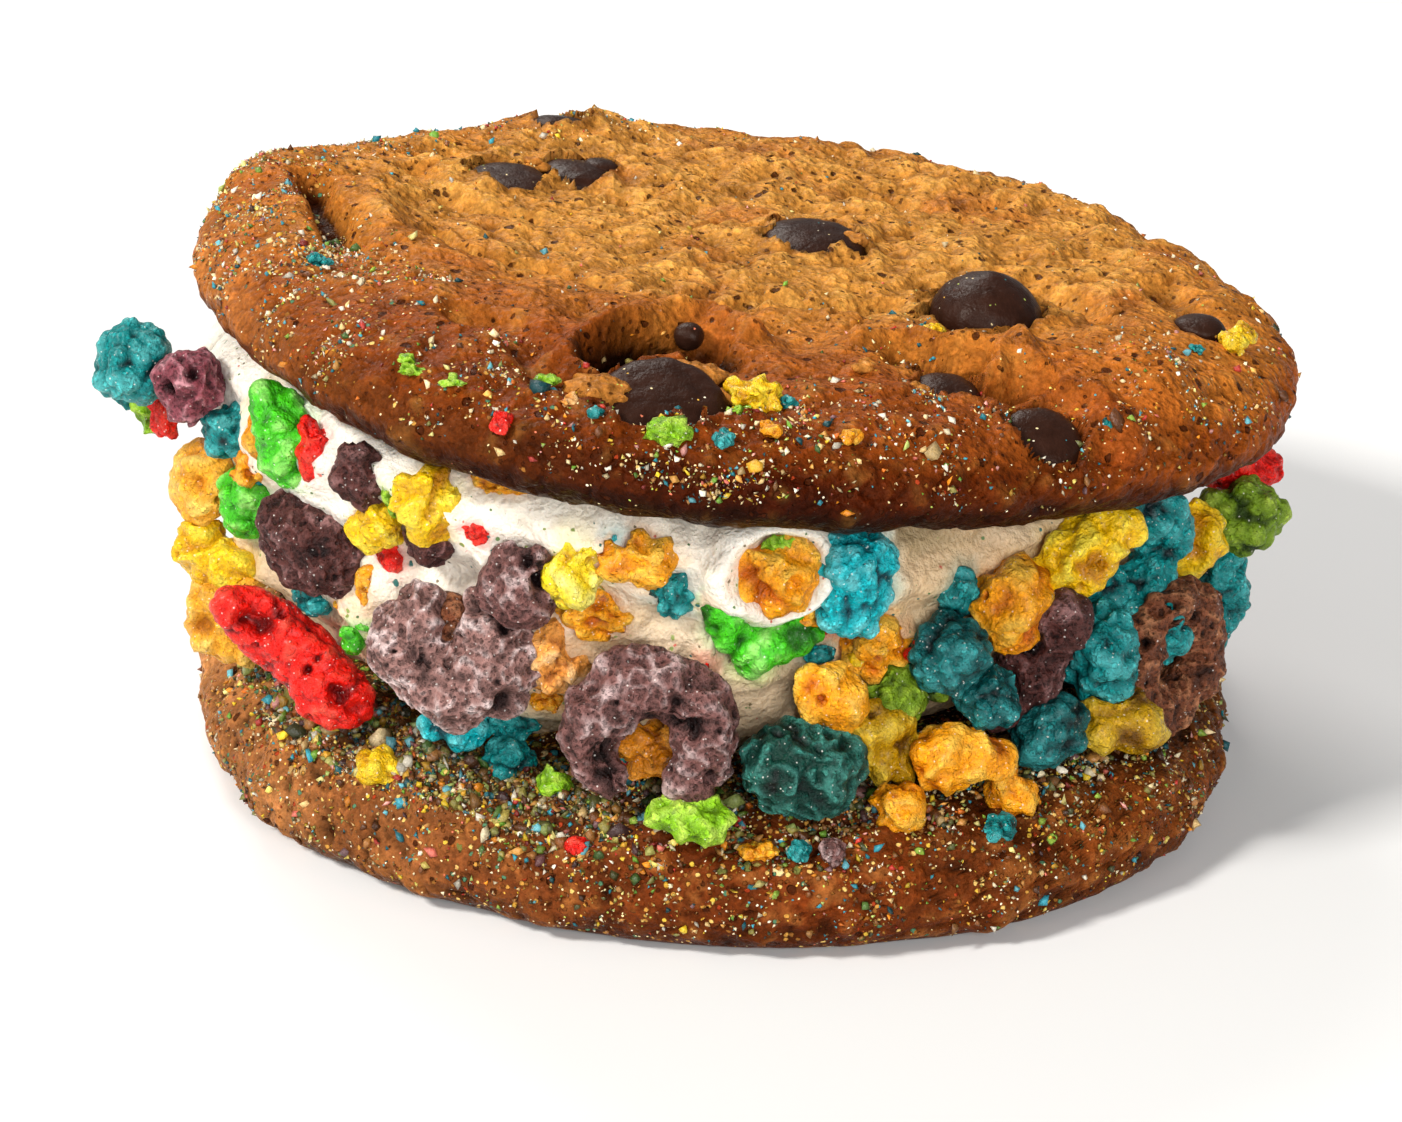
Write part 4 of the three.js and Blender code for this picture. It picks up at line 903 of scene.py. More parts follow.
def top_cookie_surface():
    """The upper cookie's points, in the sandwich's frame, with faces and tint."""
    points, normals, faces, ring, angle = cookie_grid(UPPER, *UPPER_RINGS)
    share = np.hypot(points[:, 0], points[:, 1]) / outline(UPPER, angle)
    side = 1 - np.clip(normals[:, 2], 0, 1)
    low = smoothstep(0.25, -0.75, normals[:, 2])
    facing_up = normals[:, 2] > 0.2
    golden = golden_share(points)
    crumbly = 1 - smoothstep(0.86, 1.2, golden)
    lift, fine = crust_relief(points, crumbly, 40)
    folds = folds_at(points) * np.clip(normals[:, 2], 0, 1)
    half_width, depth, places = CREVICE
    away = away_from(points[:, :2], places) + 0.4 * ripple(points, 2, 38)
    crevice = np.exp(-((away / half_width) ** 4)) * facing_up
    folds -= depth * crevice
    ragged = ripple(points, 2.6, 35) + 0.4 * ripple(points, 1.1, 36)
    lift, near_chip = round_chips(to_upper(points), points, facing_up, lift + folds, ragged)

    tint = blended("#be8035", "#b26c26", smoothstep(0.75, 1.2, golden))
    right = smoothstep(14, 34, points[:, 0]) * smoothstep(-32, -20, points[:, 1])
    tint = blended(tint, blended("#984e18", "#be6e26", right), smoothstep(1.1, 1.7, golden))
    # the rim's browning by side, with painted light on the left and painted shade at the front
    rim = smoothstep(0.06, 0.5, side + 0.12 * ripple(points, 6, 32))
    tint = blended(tint, by_side(points, RIM_TONE_AND_LIGHT), rim)
    # painted shade where the rim faces down
    tint = blended(tint, by_side(points, RIM_SHADED_BELOW), low)
    tint = blended(tint, "#9c4a1c", smoothstep(0.15, 0.6, ripple(points, 9, 37)) * 0.4 * (1 - side))
    # painted shade in the hollows of the fine relief
    tint = toned(tint, (0.34, 0.24, 0.14), smoothstep(0.02, -0.6, fine) * 0.75)
    # painted shade, nearly black, deep in the hollows of the folds
    tint = toned(tint, (0.1, 0.05, 0.03), smoothstep(-0.7, -2.2, folds))
    # darker towards the front: partly darker baking, partly painted shade
    front = -(points[:, 1] + 0.3 * points[:, 0]) / UPPER["radius"]
    tint = toned(tint, (0.78, 0.7, 0.64), smoothstep(0.45, 0.8, front))
    tint = toned(tint, (0.7, 0.6, 0.5), smoothstep(0.75, 0.95, front))
    # painted highlight on the tops of the fine relief, mostly on the face
    painted_highlight = smoothstep(0.05, 0.36, fine) * 0.55 * (1 - 0.7 * side) * (0.4 + 0.6 * crumbly)
    tint = blended(tint, "#e6a850", painted_highlight)
    # painted shadow, near black, in the crevice behind the front chip
    tint = blended(tint, "#0c0301", crevice)
    tint = blended(tint, "#3a1608", near_chip * 0.7)
    dust = dust_on_top(points, share, side) * (1 - 0.65 * low) * (1 - crevice)
    points = points + normals * lift[:, None]
    points, faces, tint = closed_below(points, faces, ring, angle, with_dust(tint, dust), UPPER_UNDERSIDE)
    return to_upper(points), faces, tint


def bottom_cookie_surface():
    """The lower cookie's points, faces and tint."""
    points, normals, faces, ring, angle = cookie_grid(LOWER, *LOWER_RINGS)
    side = 1 - np.clip(normals[:, 2], 0, 1)
    low = smoothstep(0.2, -0.8, normals[:, 2])
    lift, fine = crust_relief(points, 0.5 + 0.3 * ripple(points, 7, 62), 60)
    r = np.hypot(points[:, 0], points[:, 1]) + 1.2 * ripple(points, 5, 34)
    in_bed = smoothstep(BED_TO, BED_FROM, r)

    blotches = smoothstep(0.3, -0.4, ripple(points, 9, 33)) * 0.5
    # the sides' browning, with painted light on the left and painted shade at the front, and random darker
    # blotches
    tint = blended(by_side(points, LOWER_TONE_AND_LIGHT), "#5e2a0e", blotches)
    # painted shade where the surface faces down
    tint = toned(tint, 0.5, low)
    # painted shade in the bed under the crumbs by the ice cream
    tint = blended(tint, BED_SHADE_COLOUR, in_bed * 0.8)
    # painted highlight on the tops of the fine relief, outside the bed
    tint = blended(tint, "#b87438", smoothstep(0.05, 0.35, fine) * 0.45 * smoothstep(BED_FROM, BED_TO, r))
    # painted shadow on the right, near the ice cream and the cereal
    tint = toned(tint, 0.3, smoothstep(47, 43, r) * smoothstep(10, 22, points[:, 0]))
    # painted shade in the hollows of the fine relief
    tint = toned(tint, 0.25, smoothstep(0, -0.45, fine))
    front, left = (np.clip(share, 0, 1) for share in front_and_left(points, LOWER))
    clumps = np.clip(0.7 + 0.7 * ripple(points, 4.5, 93), 0.2, 1.3)
    dust = np.clip((0.42 + 0.4 * front + 0.3 * left) * clumps * (1 - 0.3 * side), 0, 0.72)
    bed = in_bed * smoothstep(-0.3, 0.3, front + 0.6 * left)
    lift += 0.7 * bed * (lobes(points, 1.5, 63) + 0.5 * lobes(points, 0.9, 64) - 0.6)
    fade = smoothstep(0, 2.5, points[:, 2])
    points = points + normals * (lift * fade)[:, None]
    tint = with_dust(tint, np.maximum(dust, bed))
    return closed_below(points, faces, ring, angle, tint, LOWER_UNDERSIDE)


# ---------------------------------------------------------------- cereal
# Relief by form: how strongly the broad shape shows, how far all is sunk, how strongly the height shows in
# the colour, and the height's parts: noise, amount, size, seed and what else that noise takes.
RELIEFS = {
    "crags": (0.8, 0, 1.5, [
        (lobes, 0.5, 3.4, 6), (ridges, 0.5, 1.7, 7), (lobes, 0.3, 1, 8), (pits, -0.7, 2.6, 9, 0.6, 0.4),
    ]),
    "crests": (0.6, 0.3, 1.1, [(ridges, 0.8, 2.8, 6, 1.2), (lobes, 0.35, 1.3, 7)]),
    "beads": (0.8, 0, 1.2, [(lobes, 0.65, 3, 6), (lobes, 0.75, 1.4, 7), (lobes, 0.3, 0.78, 8)]),
    "knobs": (1, 0, 1.2, [
        (lobes, 0.6, 2.7, 6), (lobes, 0.65, 1.5, 7), (lobes, 0.28, 0.85, 8), (pits, -0.3, 1.4, 9, 0.34, 0.4),
    ]),
    "dough": (0.5, 0, 0, [(lobes, 0.35, 1.7, 6)]),
    "pores": (0.6, 0, 1.5, [(lobes, 0.4, 2.6, 8), (lobes, 0.5, 1.1, 6), (pits, -0.7, 1.7, 7, 0.45, 0.6)]),
    "crinkles": (1, 0, 1.1, [
        (ridges, 0.6, 3.2, 6, 1.2), (lobes, 0.6, 1.9, 7), (lobes, 0.3, 1, 11), (pits, -0.9, 2.2, 8, 0.5, 0.5),
    ]),
}
LEVELS = {lobes: 0.6, ridges: 0.4, pits: 0}  # what is taken off each noise, so that its mean is about 0


def foam_relief(points, shape, fine, seed):
    """Relief of torn foam with caves and a skin, and how high it stands."""
    caves, holes = pits(points, 3.8, seed + 3, 1, 0.5), pits(points, 1.3, seed + 4, 0.34, 0.6)
    skin = 0.3 * ridges(points, 1.5, seed + 5, 1.4)
    patch = 0.12 * ripple(points, 2.6, seed + 11)
    rags = 0.4 * (lobes(points, 1.9, seed + 6) - 0.6)
    high = 1.7 * (skin - 0.1) + fine + patch + rags - 1.2 * caves - 0.7 * holes
    return 0.8 * shape + fine + skin + rags - 1.6 * caves - 0.4 * holes, high


def crisp_relief(points, form, seed):
    """Relief of puffed cereal, in millimetres, and how high each point of it stands, for its colour."""
    shape = ripple(points, 4.5, seed) + 0.5 * ripple(points, 2.2, seed + 1)
    fine = 0.12 * ripple(points, 0.8, seed + 2)
    if form == "foam":
        return foam_relief(points, shape, fine, seed)
    broad, sunk, contrast, parts = RELIEFS[form]
    height = sum(
        amount * (noise(points, size, seed + own, *more) - LEVELS[noise])
        for noise, amount, size, own, *more in parts
    )
    return broad * shape + fine + height - sunk, contrast * height + fine


def hollows_in(points, node):
    """Depth of a piece's hollows at each point, in millimetres, and how far into one it is, as a share."""
    depth = np.zeros(len(points))
    inside = np.zeros(len(points))
    low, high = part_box(node)
    middle = (np.array(low) + np.array(high)) / 2 / MM
    for x, y, z, radius, deepest in HOLLOWS.get(node, []):
        away = np.linalg.norm(points - middle - (x, y, z), axis=1) / radius + 0.25 * ripple(points, 1.5, 77)
        share = smoothstep(1.25, 0.5, away)
        depth = np.maximum(depth, deepest * share)
        inside = np.maximum(inside, share)
    return depth, inside


def crisp_surface(points, faces, kind, seed, swell=0.0, node=None):
    """Points with cereal's relief, and their tint."""
    _, form, _, _, _, deep, main, light = CRISPS[kind]
    lift, height = crisp_relief(points, form, seed)
    if node:
        depth, inside = hollows_in(points, node)
        lift = lift * (1 - 0.5 * inside) - depth
        # darker deeper in the hollows, as painted shade
        height = height - 0.5 * inside
    points = points + normals_of(points, faces) * (lift + swell)[:, None]
    # patches for the tips' sugar frost and painted highlight
    dusty = 0.6 * ripple(points, 2.5, seed + 9) + 0.6 * ripple(points, 0.8, seed + 10)
    # painted shade in the hollows, and on the tips partly sugar frost, partly painted highlight
    tint = blended(main, deep, smoothstep(0.05, -0.55, height))
    tint = blended(tint, light, smoothstep(0.05, 0.6, height + 0.35 * dusty) * 0.75)
    return points, tint


WHOLE_SCRAP = 2.6  # smallest half size, in millimetres, that takes cereal's relief at full size


def scrap(kind, half, matrix, seed, ragged=0.36):
    """A small piece of cereal, from its half sizes and the matrix that places it, or a cluster of three."""
    size = max(0.34, min(1, min(half) / WHOLE_SCRAP))
    rng = np.random.default_rng(seed)
    lumps = 1 if max(half) > 1.7 else 3
    parts = []
    for k in range(lumps):
        points, faces = ball(4 if max(half) > 1.9 else 3)
        share = 1 if lumps == 1 else rng.uniform(0.5, 0.75)
        away = np.zeros(3) if lumps == 1 else rng.uniform(-0.5, 0.5, 3)
        points = (points * share + away) * np.array(half) / size
        points = points * (1 + ragged * ripple(points, 1.6, seed + k))[:, None]
        points, tint = crisp_surface(points, faces, kind, seed + k)
        parts.append((points * size, faces, tint))
    points, faces, tint = joined(parts)
    return points @ np.array(matrix.to_3x3()).T + np.array(matrix.translation), faces, tint


# ---------------------------------------------------------------- ice cream
CREAM_ROUND, CREAM_UP = 560, 56  # points round and up
CREAM_BELOW, CREAM_ABOVE = 0.4, 0.5  # how far it reaches into the cookies
# The whipped mound round the orange piece at the front: degrees round, height, distance of its crest from the
# middle, half width and height.
MOUND_AT, MOUND_LEVEL, MOUND_CREST, MOUND_HALF, MOUND_HEIGHT = 6.1, 31, 4.1, 1.2, 2.8


def cream_relief(points, angle, share):
    """Strokes, folds and air holes in the ice cream's side."""
    along = np.stack([angle * 36, share * 26 + 2.2 * np.sin(2.3 * angle), share * 0], 1)
    strokes = 0.6 * ripple(along * np.array([0.25, 1, 1]), 3.2, 80) + 0.3 * ripple(along, 2.4, 81)
    folds = 0.6 * (ridges(along * np.array([0.4, 1, 1]), 5.5, 82, 3) - 0.2)
    lip = smoothstep(0.72, 0.9, share)
    lumps = (lobes(points, 3.6, 83) - 0.5) * (0.35 + 0.7 * lip) + 0.25 * (lobes(points, 1.8, 79) - 0.5)
    holes = pits(points, 3.3, 84, 0.5, 0.5) * 0.6 + pits(points, 1.7, 85, 0.3, 0.4) * 0.25
    return strokes + folds + 0.4 * ripple(points, 6, 86) + lumps - holes


def cream_mound(points, angle):
    """Height of the mound over a place, as a share."""
    across = np.sin(angle - math.radians(MOUND_AT)) * CREAM_RADIUS
    away = np.hypot(across, points[:, 2] - MOUND_LEVEL) + 0.6 * ripple(points, 3, 78)
    return np.exp(-(((away - MOUND_CREST) / MOUND_HALF) ** 2)) * (np.cos(angle) > 0)


def cream_surface(cereal_tree, cereal_tints):
    """The ice cream, drawn up round the cereal and tinted by it."""
    angle, share = (axis.ravel() for axis in np.meshgrid(
        np.linspace(0, 2 * np.pi, CREAM_ROUND, endpoint=False), np.linspace(0, 1, CREAM_UP), indexing="ij"))
    r = cream_radius(angle, share)
    x, y = r * np.sin(angle), -r * np.cos(angle)
    base = LOWER["thickness"] - CREAM_BELOW
    top = upper_underside(x, y) + CREAM_ABOVE
    points = np.stack([x, y, base + (top - base) * share], 1)
    outward = np.stack([np.sin(angle), -np.cos(angle), np.zeros_like(angle)], 1)
    mound = cream_mound(points, angle)
    lift = cream_relief(points, angle, share) + MOUND_HEIGHT * mound
    near = np.array([cereal_tree.find(Vector(p))[1:] for p in points + outward * 0.6])
    distance, index = near[:, 1], near[:, 0].astype(int)
    lift += 1.2 * np.exp(-((distance / 1.4) ** 2)) * (0.5 + 0.8 * ripple(points, 4, 87))
    points = points + outward * lift[:, None]
    left = smoothstep(-0.2, -0.8, np.sin(angle))
    right = smoothstep(0.1, 0.5, np.sin(angle)) * (np.cos(angle) > 0)
    # whiter towards the top, where it bulges and on the left, and more beige on the right
    whitening = share + 0.14 * ripple(points, 9, 88) + 0.06 * lift + 0.12 * left - 0.3 * right
    white = smoothstep(0.5, 0.85, whitening) * (0.75 + 0.25 * left)
    tint = blended("#d4ba98", "#f6efe2", np.maximum(white, mound))
    tint = toned(tint, (0.98, 0.92, 0.82), right)
    # painted shade in the hollows of its relief
    tint = blended(tint, "#96825c", smoothstep(-0.1, -0.9, lift) * 0.7)
    bleed = 0.3 * np.exp(-((distance / 0.9) ** 2)) * (1 - 0.7 * mound)
    tint = tint * (1 - bleed[:, None]) + cereal_tints[index] * bleed[:, None]
    dust = np.clip(0.25 + 0.9 * np.exp(-distance / 2.5) + 0.3 * ripple(points, 4, 89), 0, 1)
    tint = with_dust(tint, dust)
    at = np.arange(len(points)).reshape(CREAM_ROUND, CREAM_UP)
    a, d = at[:, :-1], at[:, 1:]
    b, c = np.roll(a, -1, 0), np.roll(d, -1, 0)
    faces = [np.stack([s.ravel() for s in quad], 1) for quad in ((a, b, c), (a, c, d))]
    ends = np.array([[0, 0, points[at[:, 0], 2].mean()], [0, 0, points[at[:, -1], 2].mean()]])
    low, high = np.full(CREAM_ROUND, len(points)), np.full(CREAM_ROUND, len(points) + 1)
    faces.append(np.stack([np.roll(at[:, 0], -1), at[:, 0], low], 1))
    faces.append(np.stack([at[:, -1], np.roll(at[:, -1], -1), high], 1))
    tint = np.concatenate([tint, tint[:2]])
    return np.concatenate([points, ends]), np.concatenate(faces), tint


# ---------------------------------------------------------------- the pieces
# Size of the triangles of remeshed solids, rounds of smoothing, and how far cereal swells, by shape.
VOXEL_FRONT, VOXEL_BACK, VOXEL_CHIP = 0.23, 0.4, 0.4
CRISP_SMOOTHING, CHIP_SMOOTHING = 12, 4
SWELL = {"puff": 0.12, "arc": 0.25, "ring": 0.1, "bar": 0.35}
# Seeds: the first one of each group, and the steps between its pieces.
CRISP_SEED, CRISP_STEP = 100, 20
CREAM_SEED, LOWER_SEED, UPPER_SEED, FLAP_SEED, SCRAP_STEP = 700, 1570, 1607, 1900, 11
CHOCOLATE_SEED = 2000
NEAR_STEP = 5  # of the cereal's points, every fifth is enough to find what is near

crust = crust_material()
chocolate = chocolate_material()
crisps = {
    kind: crisp_material(f"crisp_{kind}", form, roughness, glow, coat)
    for kind, (_, form, roughness, glow, coat, *_) in CRISPS.items()
}
slots = {kind: row[0] for kind, row in CRISPS.items()}


def add_cereal():
    """The cereal that has solids of its own. Gives each piece's points and tint."""
    surfaces = []
    for seed, node in enumerate(sorted(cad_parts)):
        if node in ("top_cookie", "bottom_cookie", "ice_cream") or node in CHIPS:
            continue
        colour_name, shape = node.split("_")[:2]
        kind = SPECIAL_KINDS.get(node, colour_name)
        points, faces = remeshed(node, VOXEL_BACK if "_back_" in node else VOXEL_FRONT)
        points = smoothed(points, faces, CRISP_SMOOTHING)
        points, tint = crisp_surface(points, faces, kind, CRISP_SEED + CRISP_STEP * seed, SWELL[shape], node)
        add_piece(f"{node}_crisp", points, faces, tint, crisps[kind], slots[kind], [node])
        surfaces.append((points, tint))
    return surfaces


def add_chips():
    """The chocolate chips, slightly melted."""
    for seed, node in enumerate(CHIPS):
        points, faces = remeshed(node, VOXEL_CHIP)
        points = smoothed(points, faces, CHIP_SMOOTHING)
        lift = 0.16 * ripple(points, 3, 70 + seed) + 0.06 * ripple(points, 1, 80 + seed)
        outward = normals_of(points, faces)
        lift += CHIP_SWELL.get(node, 0) * np.clip(outward[:, 2], 0, 1)
        points = points + outward * lift[:, None]
        tint = plain("#2b160e", 0.5, len(points))
        add_piece(f"{node}_melted", points, faces, tint, chocolate, "chocolate", [node])


def cream_seat(degrees, height, half_height, proud):
    """The matrix that sets a scrap on the ice cream's side, whose middle stands out by `proud`."""
    angle = math.radians(degrees)
    top = upper_underside(CREAM_RADIUS * math.sin(angle), -CREAM_RADIUS * math.cos(angle))
    level = min(max(height, LOWER["thickness"] + half_height + 2), top - half_height - 0.6)
    share = (level - LOWER["thickness"]) / (top - LOWER["thickness"])
    r = float(cream_radius(np.array([angle]), np.array([share]))[0]) + proud
    place = Vector((r * math.sin(angle), -r * math.cos(angle), level))
    return Matrix.Translation(place) @ Matrix.Rotation(angle, 4, "Z")


def cookie_seat(cookie, x, y, half_height):
    """The matrix that sets a scrap on a cookie's face, in the sandwich's frame."""
    place = np.array([x, y, float(face_height(cookie, x, y)) + 0.3 * half_height])
    if cookie is LOWER:
        return Matrix.Translation(place)
    seat = Matrix(TURN.tolist()).to_4x4()
    seat.translation = TURN @ place + ORIGIN
    return seat


def cream_scraps():
    """Scraps on the ice cream, as (kind, surface)."""
    span, count = BACK_SCRAPS_TO - BACK_SCRAPS_FROM, len(BACK_SCRAP_COLOURS)
    back = [
        (kind, BACK_SCRAPS_FROM + span * (k + 0.5) / count, height, BACK_SCRAP_HALF, BACK_SCRAP_HALF)
        for k, (kind, height) in enumerate(zip(BACK_SCRAP_COLOURS, BACK_SCRAP_HEIGHTS))
    ]
    rows = [(*row, 0.25 * row[3]) for row in FRONT_SCRAPS + back] + SMALL_BITS
    for seed, (kind, degrees, height, half_width, half_height, proud) in enumerate(rows):
        half = (half_width, min(half_width, half_height), half_height)
        seat = cream_seat(degrees, height, half_height, proud)
        yield kind, scrap(kind, half, seat, CREAM_SEED + SCRAP_STEP * seed)


def cookie_scraps(cookie, rows, first_seed):
    """Scraps on a cookie, as (kind, surface)."""
    for seed, (kind, x, y, half_width, half_height) in enumerate(rows):
        half = (half_width, half_width, half_height)
        seat = cookie_seat(cookie, x, y, half_height)
        yield kind, scrap(kind, half, seat, first_seed + SCRAP_STEP * seed)


def add_flaps():
    """Dough that laps over the chips."""
    flaps = []
    for seed, (x, y, half_width, half_height) in enumerate(UPPER_FLAPS):
        half = (half_width, half_width * 0.8, half_height)
        seat = cookie_seat(UPPER, x, y, half_height)
        points, faces, tint = scrap("dough", half, seat, FLAP_SEED + SCRAP_STEP * seed, 0.22)
        flaps.append((points, faces, with_dust(tint, 0.2)))
    add_piece("dough_flaps", *joined(flaps), crust, "cookie")


def add_chocolate_bits():
    """Chocolate that shows in the dough."""
    bits = []
    for seed, (x, y, half_width, half_height) in enumerate(CHOCOLATE_BITS):
        points, faces = ball(4)
        uneven = 1 + 0.16 * ripple(points, 1.4, CHOCOLATE_SEED + seed)
        points = points * (half_width, half_width, half_height) * uneven[:, None]
        seat = np.array(cookie_seat(UPPER, x, y, 0))
        bits.append((points @ seat[:3, :3].T + seat[:3, 3], faces, plain("#2c1810", 0.3, len(points))))
    add_piece("chocolate_bits", *joined(bits), chocolate, "chocolate")


def add_scraps(scraps):
    """One piece for each kind of cereal."""
    for kind in dict.fromkeys(kind for kind, _ in scraps):
        same = [surface for other, surface in scraps if other == kind]
        add_piece(f"{kind}_scraps", *joined(same), crisps[kind], slots[kind])


def add_ice_cream(cereal):
    """The ice cream, drawn up round the cereal's points and tinted by it."""
    points, tints = (np.concatenate(values)[::NEAR_STEP] for values in zip(*cereal))
    tree = kdtree.KDTree(len(points))
    for k, point in enumerate(points):
        tree.insert(Vector(point), k)
    tree.balance()
    add_piece("ice_cream_slab", *cream_surface(tree, tints), cream_material(), "ice_cream", ["ice_cream"])


top_cookie = top_cookie_surface()
add_piece("top_cookie_baked", *top_cookie, crust, "cookie", ["top_cookie"])
bottom_cookie = bottom_cookie_surface()
add_piece("bottom_cookie_baked", *bottom_cookie, crust, "cookie", ["bottom_cookie"])
cereal = add_cereal()
add_chips()
on_cream = list(cream_scraps())
on_lower = list(cookie_scraps(LOWER, LOWER_SCRAPS, LOWER_SEED))
on_upper = list(cookie_scraps(UPPER, UPPER_SCRAPS + UPPER_BITS, UPPER_SEED))
add_flaps()
add_chocolate_bits()
add_scraps(on_cream + on_lower + on_upper)
add_ice_cream(cereal + [(points, tint) for _, (points, _, tint) in on_cream])

# ---------------------------------------------------------------- crumbs and sugar
# Where crumbs have gathered on the upper cookie: place, radius and how thickly.
DUST_PATCHES = [
    (-35, -14.4, 4.5, 3.2), (-41.5, -6.8, 4, 2.4), (-28.9, -19.1, 3.5, 2), (-44.8, 7.4, 4, 2),
    (-10.5, -46, 5, 1.6), (-1, -44, 6, 1.7), (8, -42, 7, 1), (-15.3, -38.6, 3, 1.4),
    (11.5, -24.7, 2.4, 1.2), (15.1, -14.5, 2.4, 1), (28, -37, 6, 1.4), (-38, 20, 5, 1.2),
]


def on_top(points, normals):
    """How thickly crumbs lie on the upper cookie."""
    local = from_upper(points)
    share = np.hypot(local[:, 0], local[:, 1]) / outline(UPPER, np.arctan2(local[:, 1], local[:, 0]))
    front, left = front_and_left(local, UPPER)
    rim = smoothstep(0.66, 0.9, share)
    where = 0.12 + np.maximum(np.maximum(front, 1.1 * left), 0)
    clumps = np.clip(0.4 + 1.5 * ripple(local, 4.5, 90), 0.08, 1.6) ** 2
    patches = sum(
        amount * np.exp(-(((local[:, 0] - x) ** 2 + (local[:, 1] - y) ** 2) / radius**2))
        for x, y, radius, amount in DUST_PATCHES
    )
    facing = smoothstep(-0.3, 0.35, (normals @ TURN)[:, 2])
    return (0.02 + rim * where * clumps + patches * (0.3 + 0.7 * clumps)) * facing


def on_bottom(points, normals, on_rim):
    """How thickly crumbs lie on the lower cookie: heaped by the ice cream and thin on the rim."""
    r = np.hypot(points[:, 0], points[:, 1])
    front = np.clip(-points[:, 1] / LOWER["radius"] + 0.3, 0.14, 1)
    heap = smoothstep(45, 39, r + 1.5 * ripple(points, 6, 94)) * smoothstep(0.55, 0.9, normals[:, 2])
    clumps = np.clip(0.6 + 0.9 * ripple(points, 4, 91), 0.12, 1.6)
    return (r > 34) * (normals[:, 2] > -0.4) * front * (on_rim + 2.2 * heap) * clumps


def light_on_top(points):
    """How light the crumbs on the upper cookie are: darker low on its rim, as painted shade."""
    return 0.6 + 0.4 * smoothstep(3, 8, from_upper(points)[:, 2])


def light_on_bottom(points):
    """How light the crumbs on the lower cookie are: darker close to the ice cream, as painted shade."""
    return 0.42 + 0.4 * smoothstep(38, 42, np.hypot(points[:, 0], points[:, 1]))


def crumbs_on(surface, density, light, count, sizes, shape, colours, rng, *more):
    """Crumbs strewn over a surface: (points, faces, tint). The density is for (points, normals, *more)."""
    points, faces, _ = surface
    corners, across = across_faces(points, faces)
    area = np.linalg.norm(across, axis=1)
    normal = across / np.maximum(area, 1e-12)[:, None]
    weight = area * density(corners.mean(1), normal, *more)
    chosen = rng.choice(len(faces), count, p=weight / weight.sum())
    mix = rng.dirichlet((1, 1, 1), count)
    place = (corners[chosen] * mix[:, :, None]).sum(1)
    base, base_faces = shape
    size = sizes[0] * (sizes[1] / sizes[0]) ** (rng.random(count) ** 1.7)
    half = size[:, None] / 2 * rng.uniform(0.45, 1.4, (count, 3))
    body = base[None] * (1 + rng.uniform(-0.55, 0.5, (count, len(base), 1))) * half[:, None]
    spin = np.linalg.qr(rng.normal(size=(count, 3, 3)))[0]
    spin *= np.sign(np.linalg.det(spin))[:, None, None]
    body = np.einsum("nij,nvj->nvi", spin, body)
    body += (place + normal[chosen] * (size * CRUMB_OFF)[:, None])[:, None]
    index = base_faces[None] + (np.arange(count) * len(base))[:, None, None]
    palette = np.array([colour(text) for text in colours])
    shade = palette[rng.integers(len(palette), size=count)] * rng.uniform(0.4, 1.3, (count, 1))
    shade *= light(place)[:, None]
    return body.reshape(-1, 3), index.reshape(-1, 3), np.repeat(shade, len(base), 0)


CRUMB_SEED = 11
CRUMB_SIZES = np.array([(0.2, 0.5), (0.4, 1), (0.8, 1.7)])
SHARD = (np.array([(1, 0, -0.7), (-1, 0, -0.7), (0, 1, 0.7), (0, -1, 0.7)], float),
         np.array([(0, 2, 3), (1, 3, 2), (0, 1, 2), (0, 3, 1)]))
FLAKE = (np.array([(1, 0, 0), (-1, 0, 0), (0, 1, 0), (0, -1, 0), (0, 0, 1), (0, 0, -1)], float),
         np.array([(0, 2, 4), (2, 1, 4), (1, 3, 4), (3, 0, 4), (2, 0, 5), (1, 2, 5), (3, 1, 5), (0, 3, 5)]))
LUMP = ball(1)
# Crumbs by colour: tints, slot, and how many shards, flakes and lumps lie on the upper and the lower cookie.
CRUMB_KINDS = {
    "cream": (["#f7e6bd", "#f0d6a2", "#e2bd7c", "#fff4dc"], "cookie", (1700, 420, 8), (3200, 1100, 90)),
    "tan": (["#a87038", "#7d4a22", "#b8803f", "#5c3418"], "cookie", (600, 120, 4), (3200, 1500, 140)),
    "olive": (["#9a8e44", "#5a5a2e", "#a8a456", "#44482a"], "cookie", (120, 20, 1), (900, 1200, 140)),
    "teal": (["#15707c", "#3a9fb0", "#17565c", "#6ab5c0"], "cereal_teal", (640, 150, 2), (1000, 700, 60)),
    "green": (["#8fae3c", "#6c9a30", "#4d6a30", "#b4c468"], "cereal_green", (320, 80, 2), (600, 600, 80)),
    "yellow": (["#f2ca2a", "#ead26a", "#c9962a", "#f6e68c"], "cereal_yellow", (600, 110, 2), (1300, 900, 60)),
    "red": (["#cc3a2c", "#d8705e", "#9c2f24", "#e8a095"], "cereal_red", (420, 80, 1), (600, 300, 16)),
    "orange": (["#f0921c", "#d8701a", "#f5b054"], "cereal_orange", (380, 80, 1), (900, 500, 30)),
    "purple": (["#5c3838", "#432826", "#7d5a5c"], "cereal_purple", (60, 15, 1), (260, 220, 20)),
}
CRUMBS_ON_RIM = (0.3, 0.1, 0.03)  # how thickly shards, flakes and lumps lie on the lower cookie's rim
UPPER_CRUMB_SCALE = 0.85
CRUMB_OFF = 0.15  # how far the middle of a crumb stands off the surface, as a share of its size


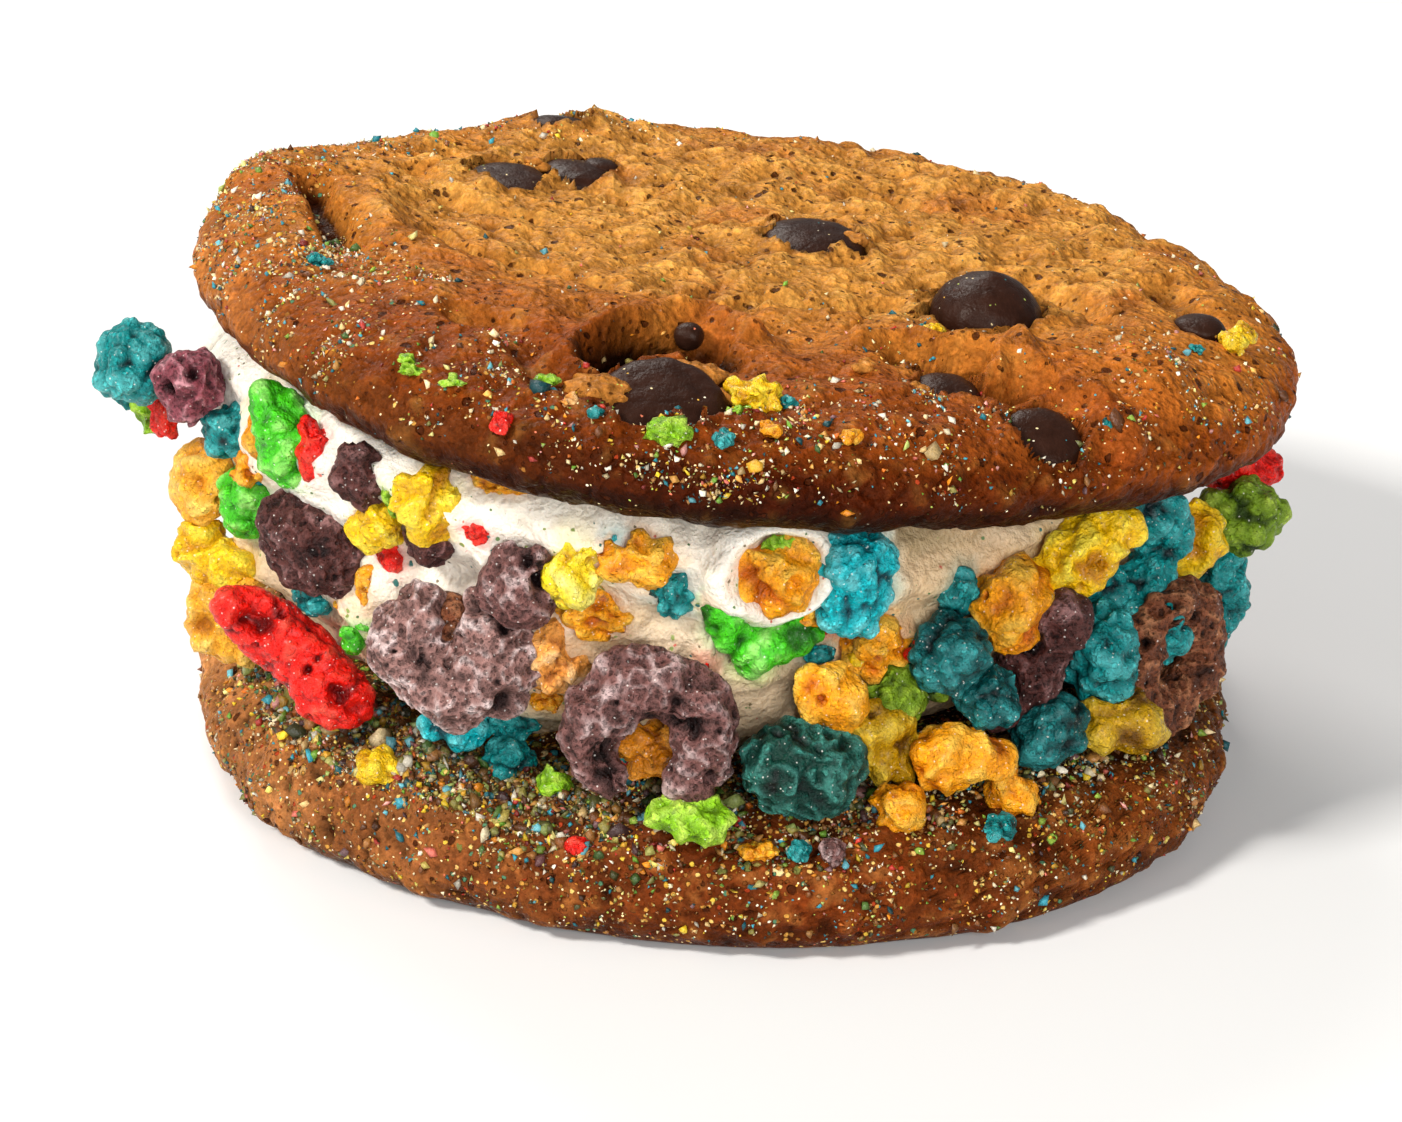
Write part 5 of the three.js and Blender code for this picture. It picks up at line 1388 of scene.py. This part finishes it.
def add_crumbs():
    """One piece for each colour of crumbs, on both cookies."""
    rng = np.random.default_rng(CRUMB_SEED)
    material = crumb_material()
    shapes = (SHARD, FLAKE, LUMP)
    upper = (top_cookie, on_top, light_on_top)
    lower = (bottom_cookie, on_bottom, light_on_bottom)
    for name, (colours, slot, upper_counts, lower_counts) in CRUMB_KINDS.items():
        parts = []
        for count, sizes, shape in zip(upper_counts, CRUMB_SIZES * UPPER_CRUMB_SCALE, shapes):
            parts.append(crumbs_on(*upper, count, sizes, shape, colours, rng))
        for count, sizes, shape, on_rim in zip(lower_counts, CRUMB_SIZES, shapes, CRUMBS_ON_RIM):
            parts.append(crumbs_on(*lower, count, sizes, shape, colours, rng, on_rim))
        add_piece(f"{name}_crumbs", *joined(parts), material, slot, smooth=False)


add_crumbs()

# ---------------------------------------------------------------- stage, light and camera
CAMERA_AIM, CAMERA_DISTANCE, CAMERA_ELEVATION, LENS = Vector((-1.5, 0, 15.5)), 336, 23, 97.6
LIGHTS_AIM = Vector((0, 0, 0.02))  # in metres
# Square soft lights, in metres and watts: place, size, power and colour.
LIGHTS = {
    "key": ((-0.75, -0.5, 0.8), 0.2, 14, (1, 0.97, 0.92)),
    "back": ((-0.3, 0.8, 0.8), 0.5, 7, (1, 0.97, 0.92)),
    "fill": ((0.25, -1.1, 0.45), 0.5, 10.5, (1, 1, 1)),
}
SKY_STRENGTH = 0.24
FLOOR_TINT = (0.85, 0.85, 0.85, 1)
FLOOR_HALF = 4


def add_camera():
    data = bpy.data.cameras.new("camera")
    data.lens = LENS
    data.clip_start = 0.01
    camera = placed("camera", data)
    tilt = math.radians(CAMERA_ELEVATION)
    camera.location = (CAMERA_AIM + CAMERA_DISTANCE * Vector((0, -math.cos(tilt), math.sin(tilt)))) * MM
    camera.rotation_euler = (math.pi / 2 - tilt, 0, 0)
    bpy.context.scene.camera = camera


def add_light(name, place, size, power, tint):
    data = bpy.data.lights.new(name, "AREA")
    data.size = size
    data.energy = power
    data.color = tint
    light = placed(name, data)
    light.location = place
    light.rotation_euler = (LIGHTS_AIM - Vector(place)).to_track_quat("-Z", "Y").to_euler()


def add_stage():
    mesh = bpy.data.meshes.new("floor")
    corners = [(x * FLOOR_HALF, y * FLOOR_HALF, 0) for x, y in ((-1, -1), (1, -1), (1, 1), (-1, 1))]
    mesh.from_pydata(corners, [], [(0, 1, 2, 3)])
    mesh.materials.append(Look("floor", 0.9, 0.1).finished(FLOOR_TINT, []))
    placed("floor", mesh)
    world = bpy.data.worlds.new("studio")
    world.use_nodes = True
    background = world.node_tree.nodes["Background"]
    background.inputs["Color"].default_value = (1, 1, 1, 1)
    background.inputs["Strength"].default_value = SKY_STRENGTH
    bpy.context.scene.world = world
    bpy.context.scene.view_settings.view_transform = "Standard"


add_camera()
add_stage()
for name, light in LIGHTS.items():
    add_light(name, *light)
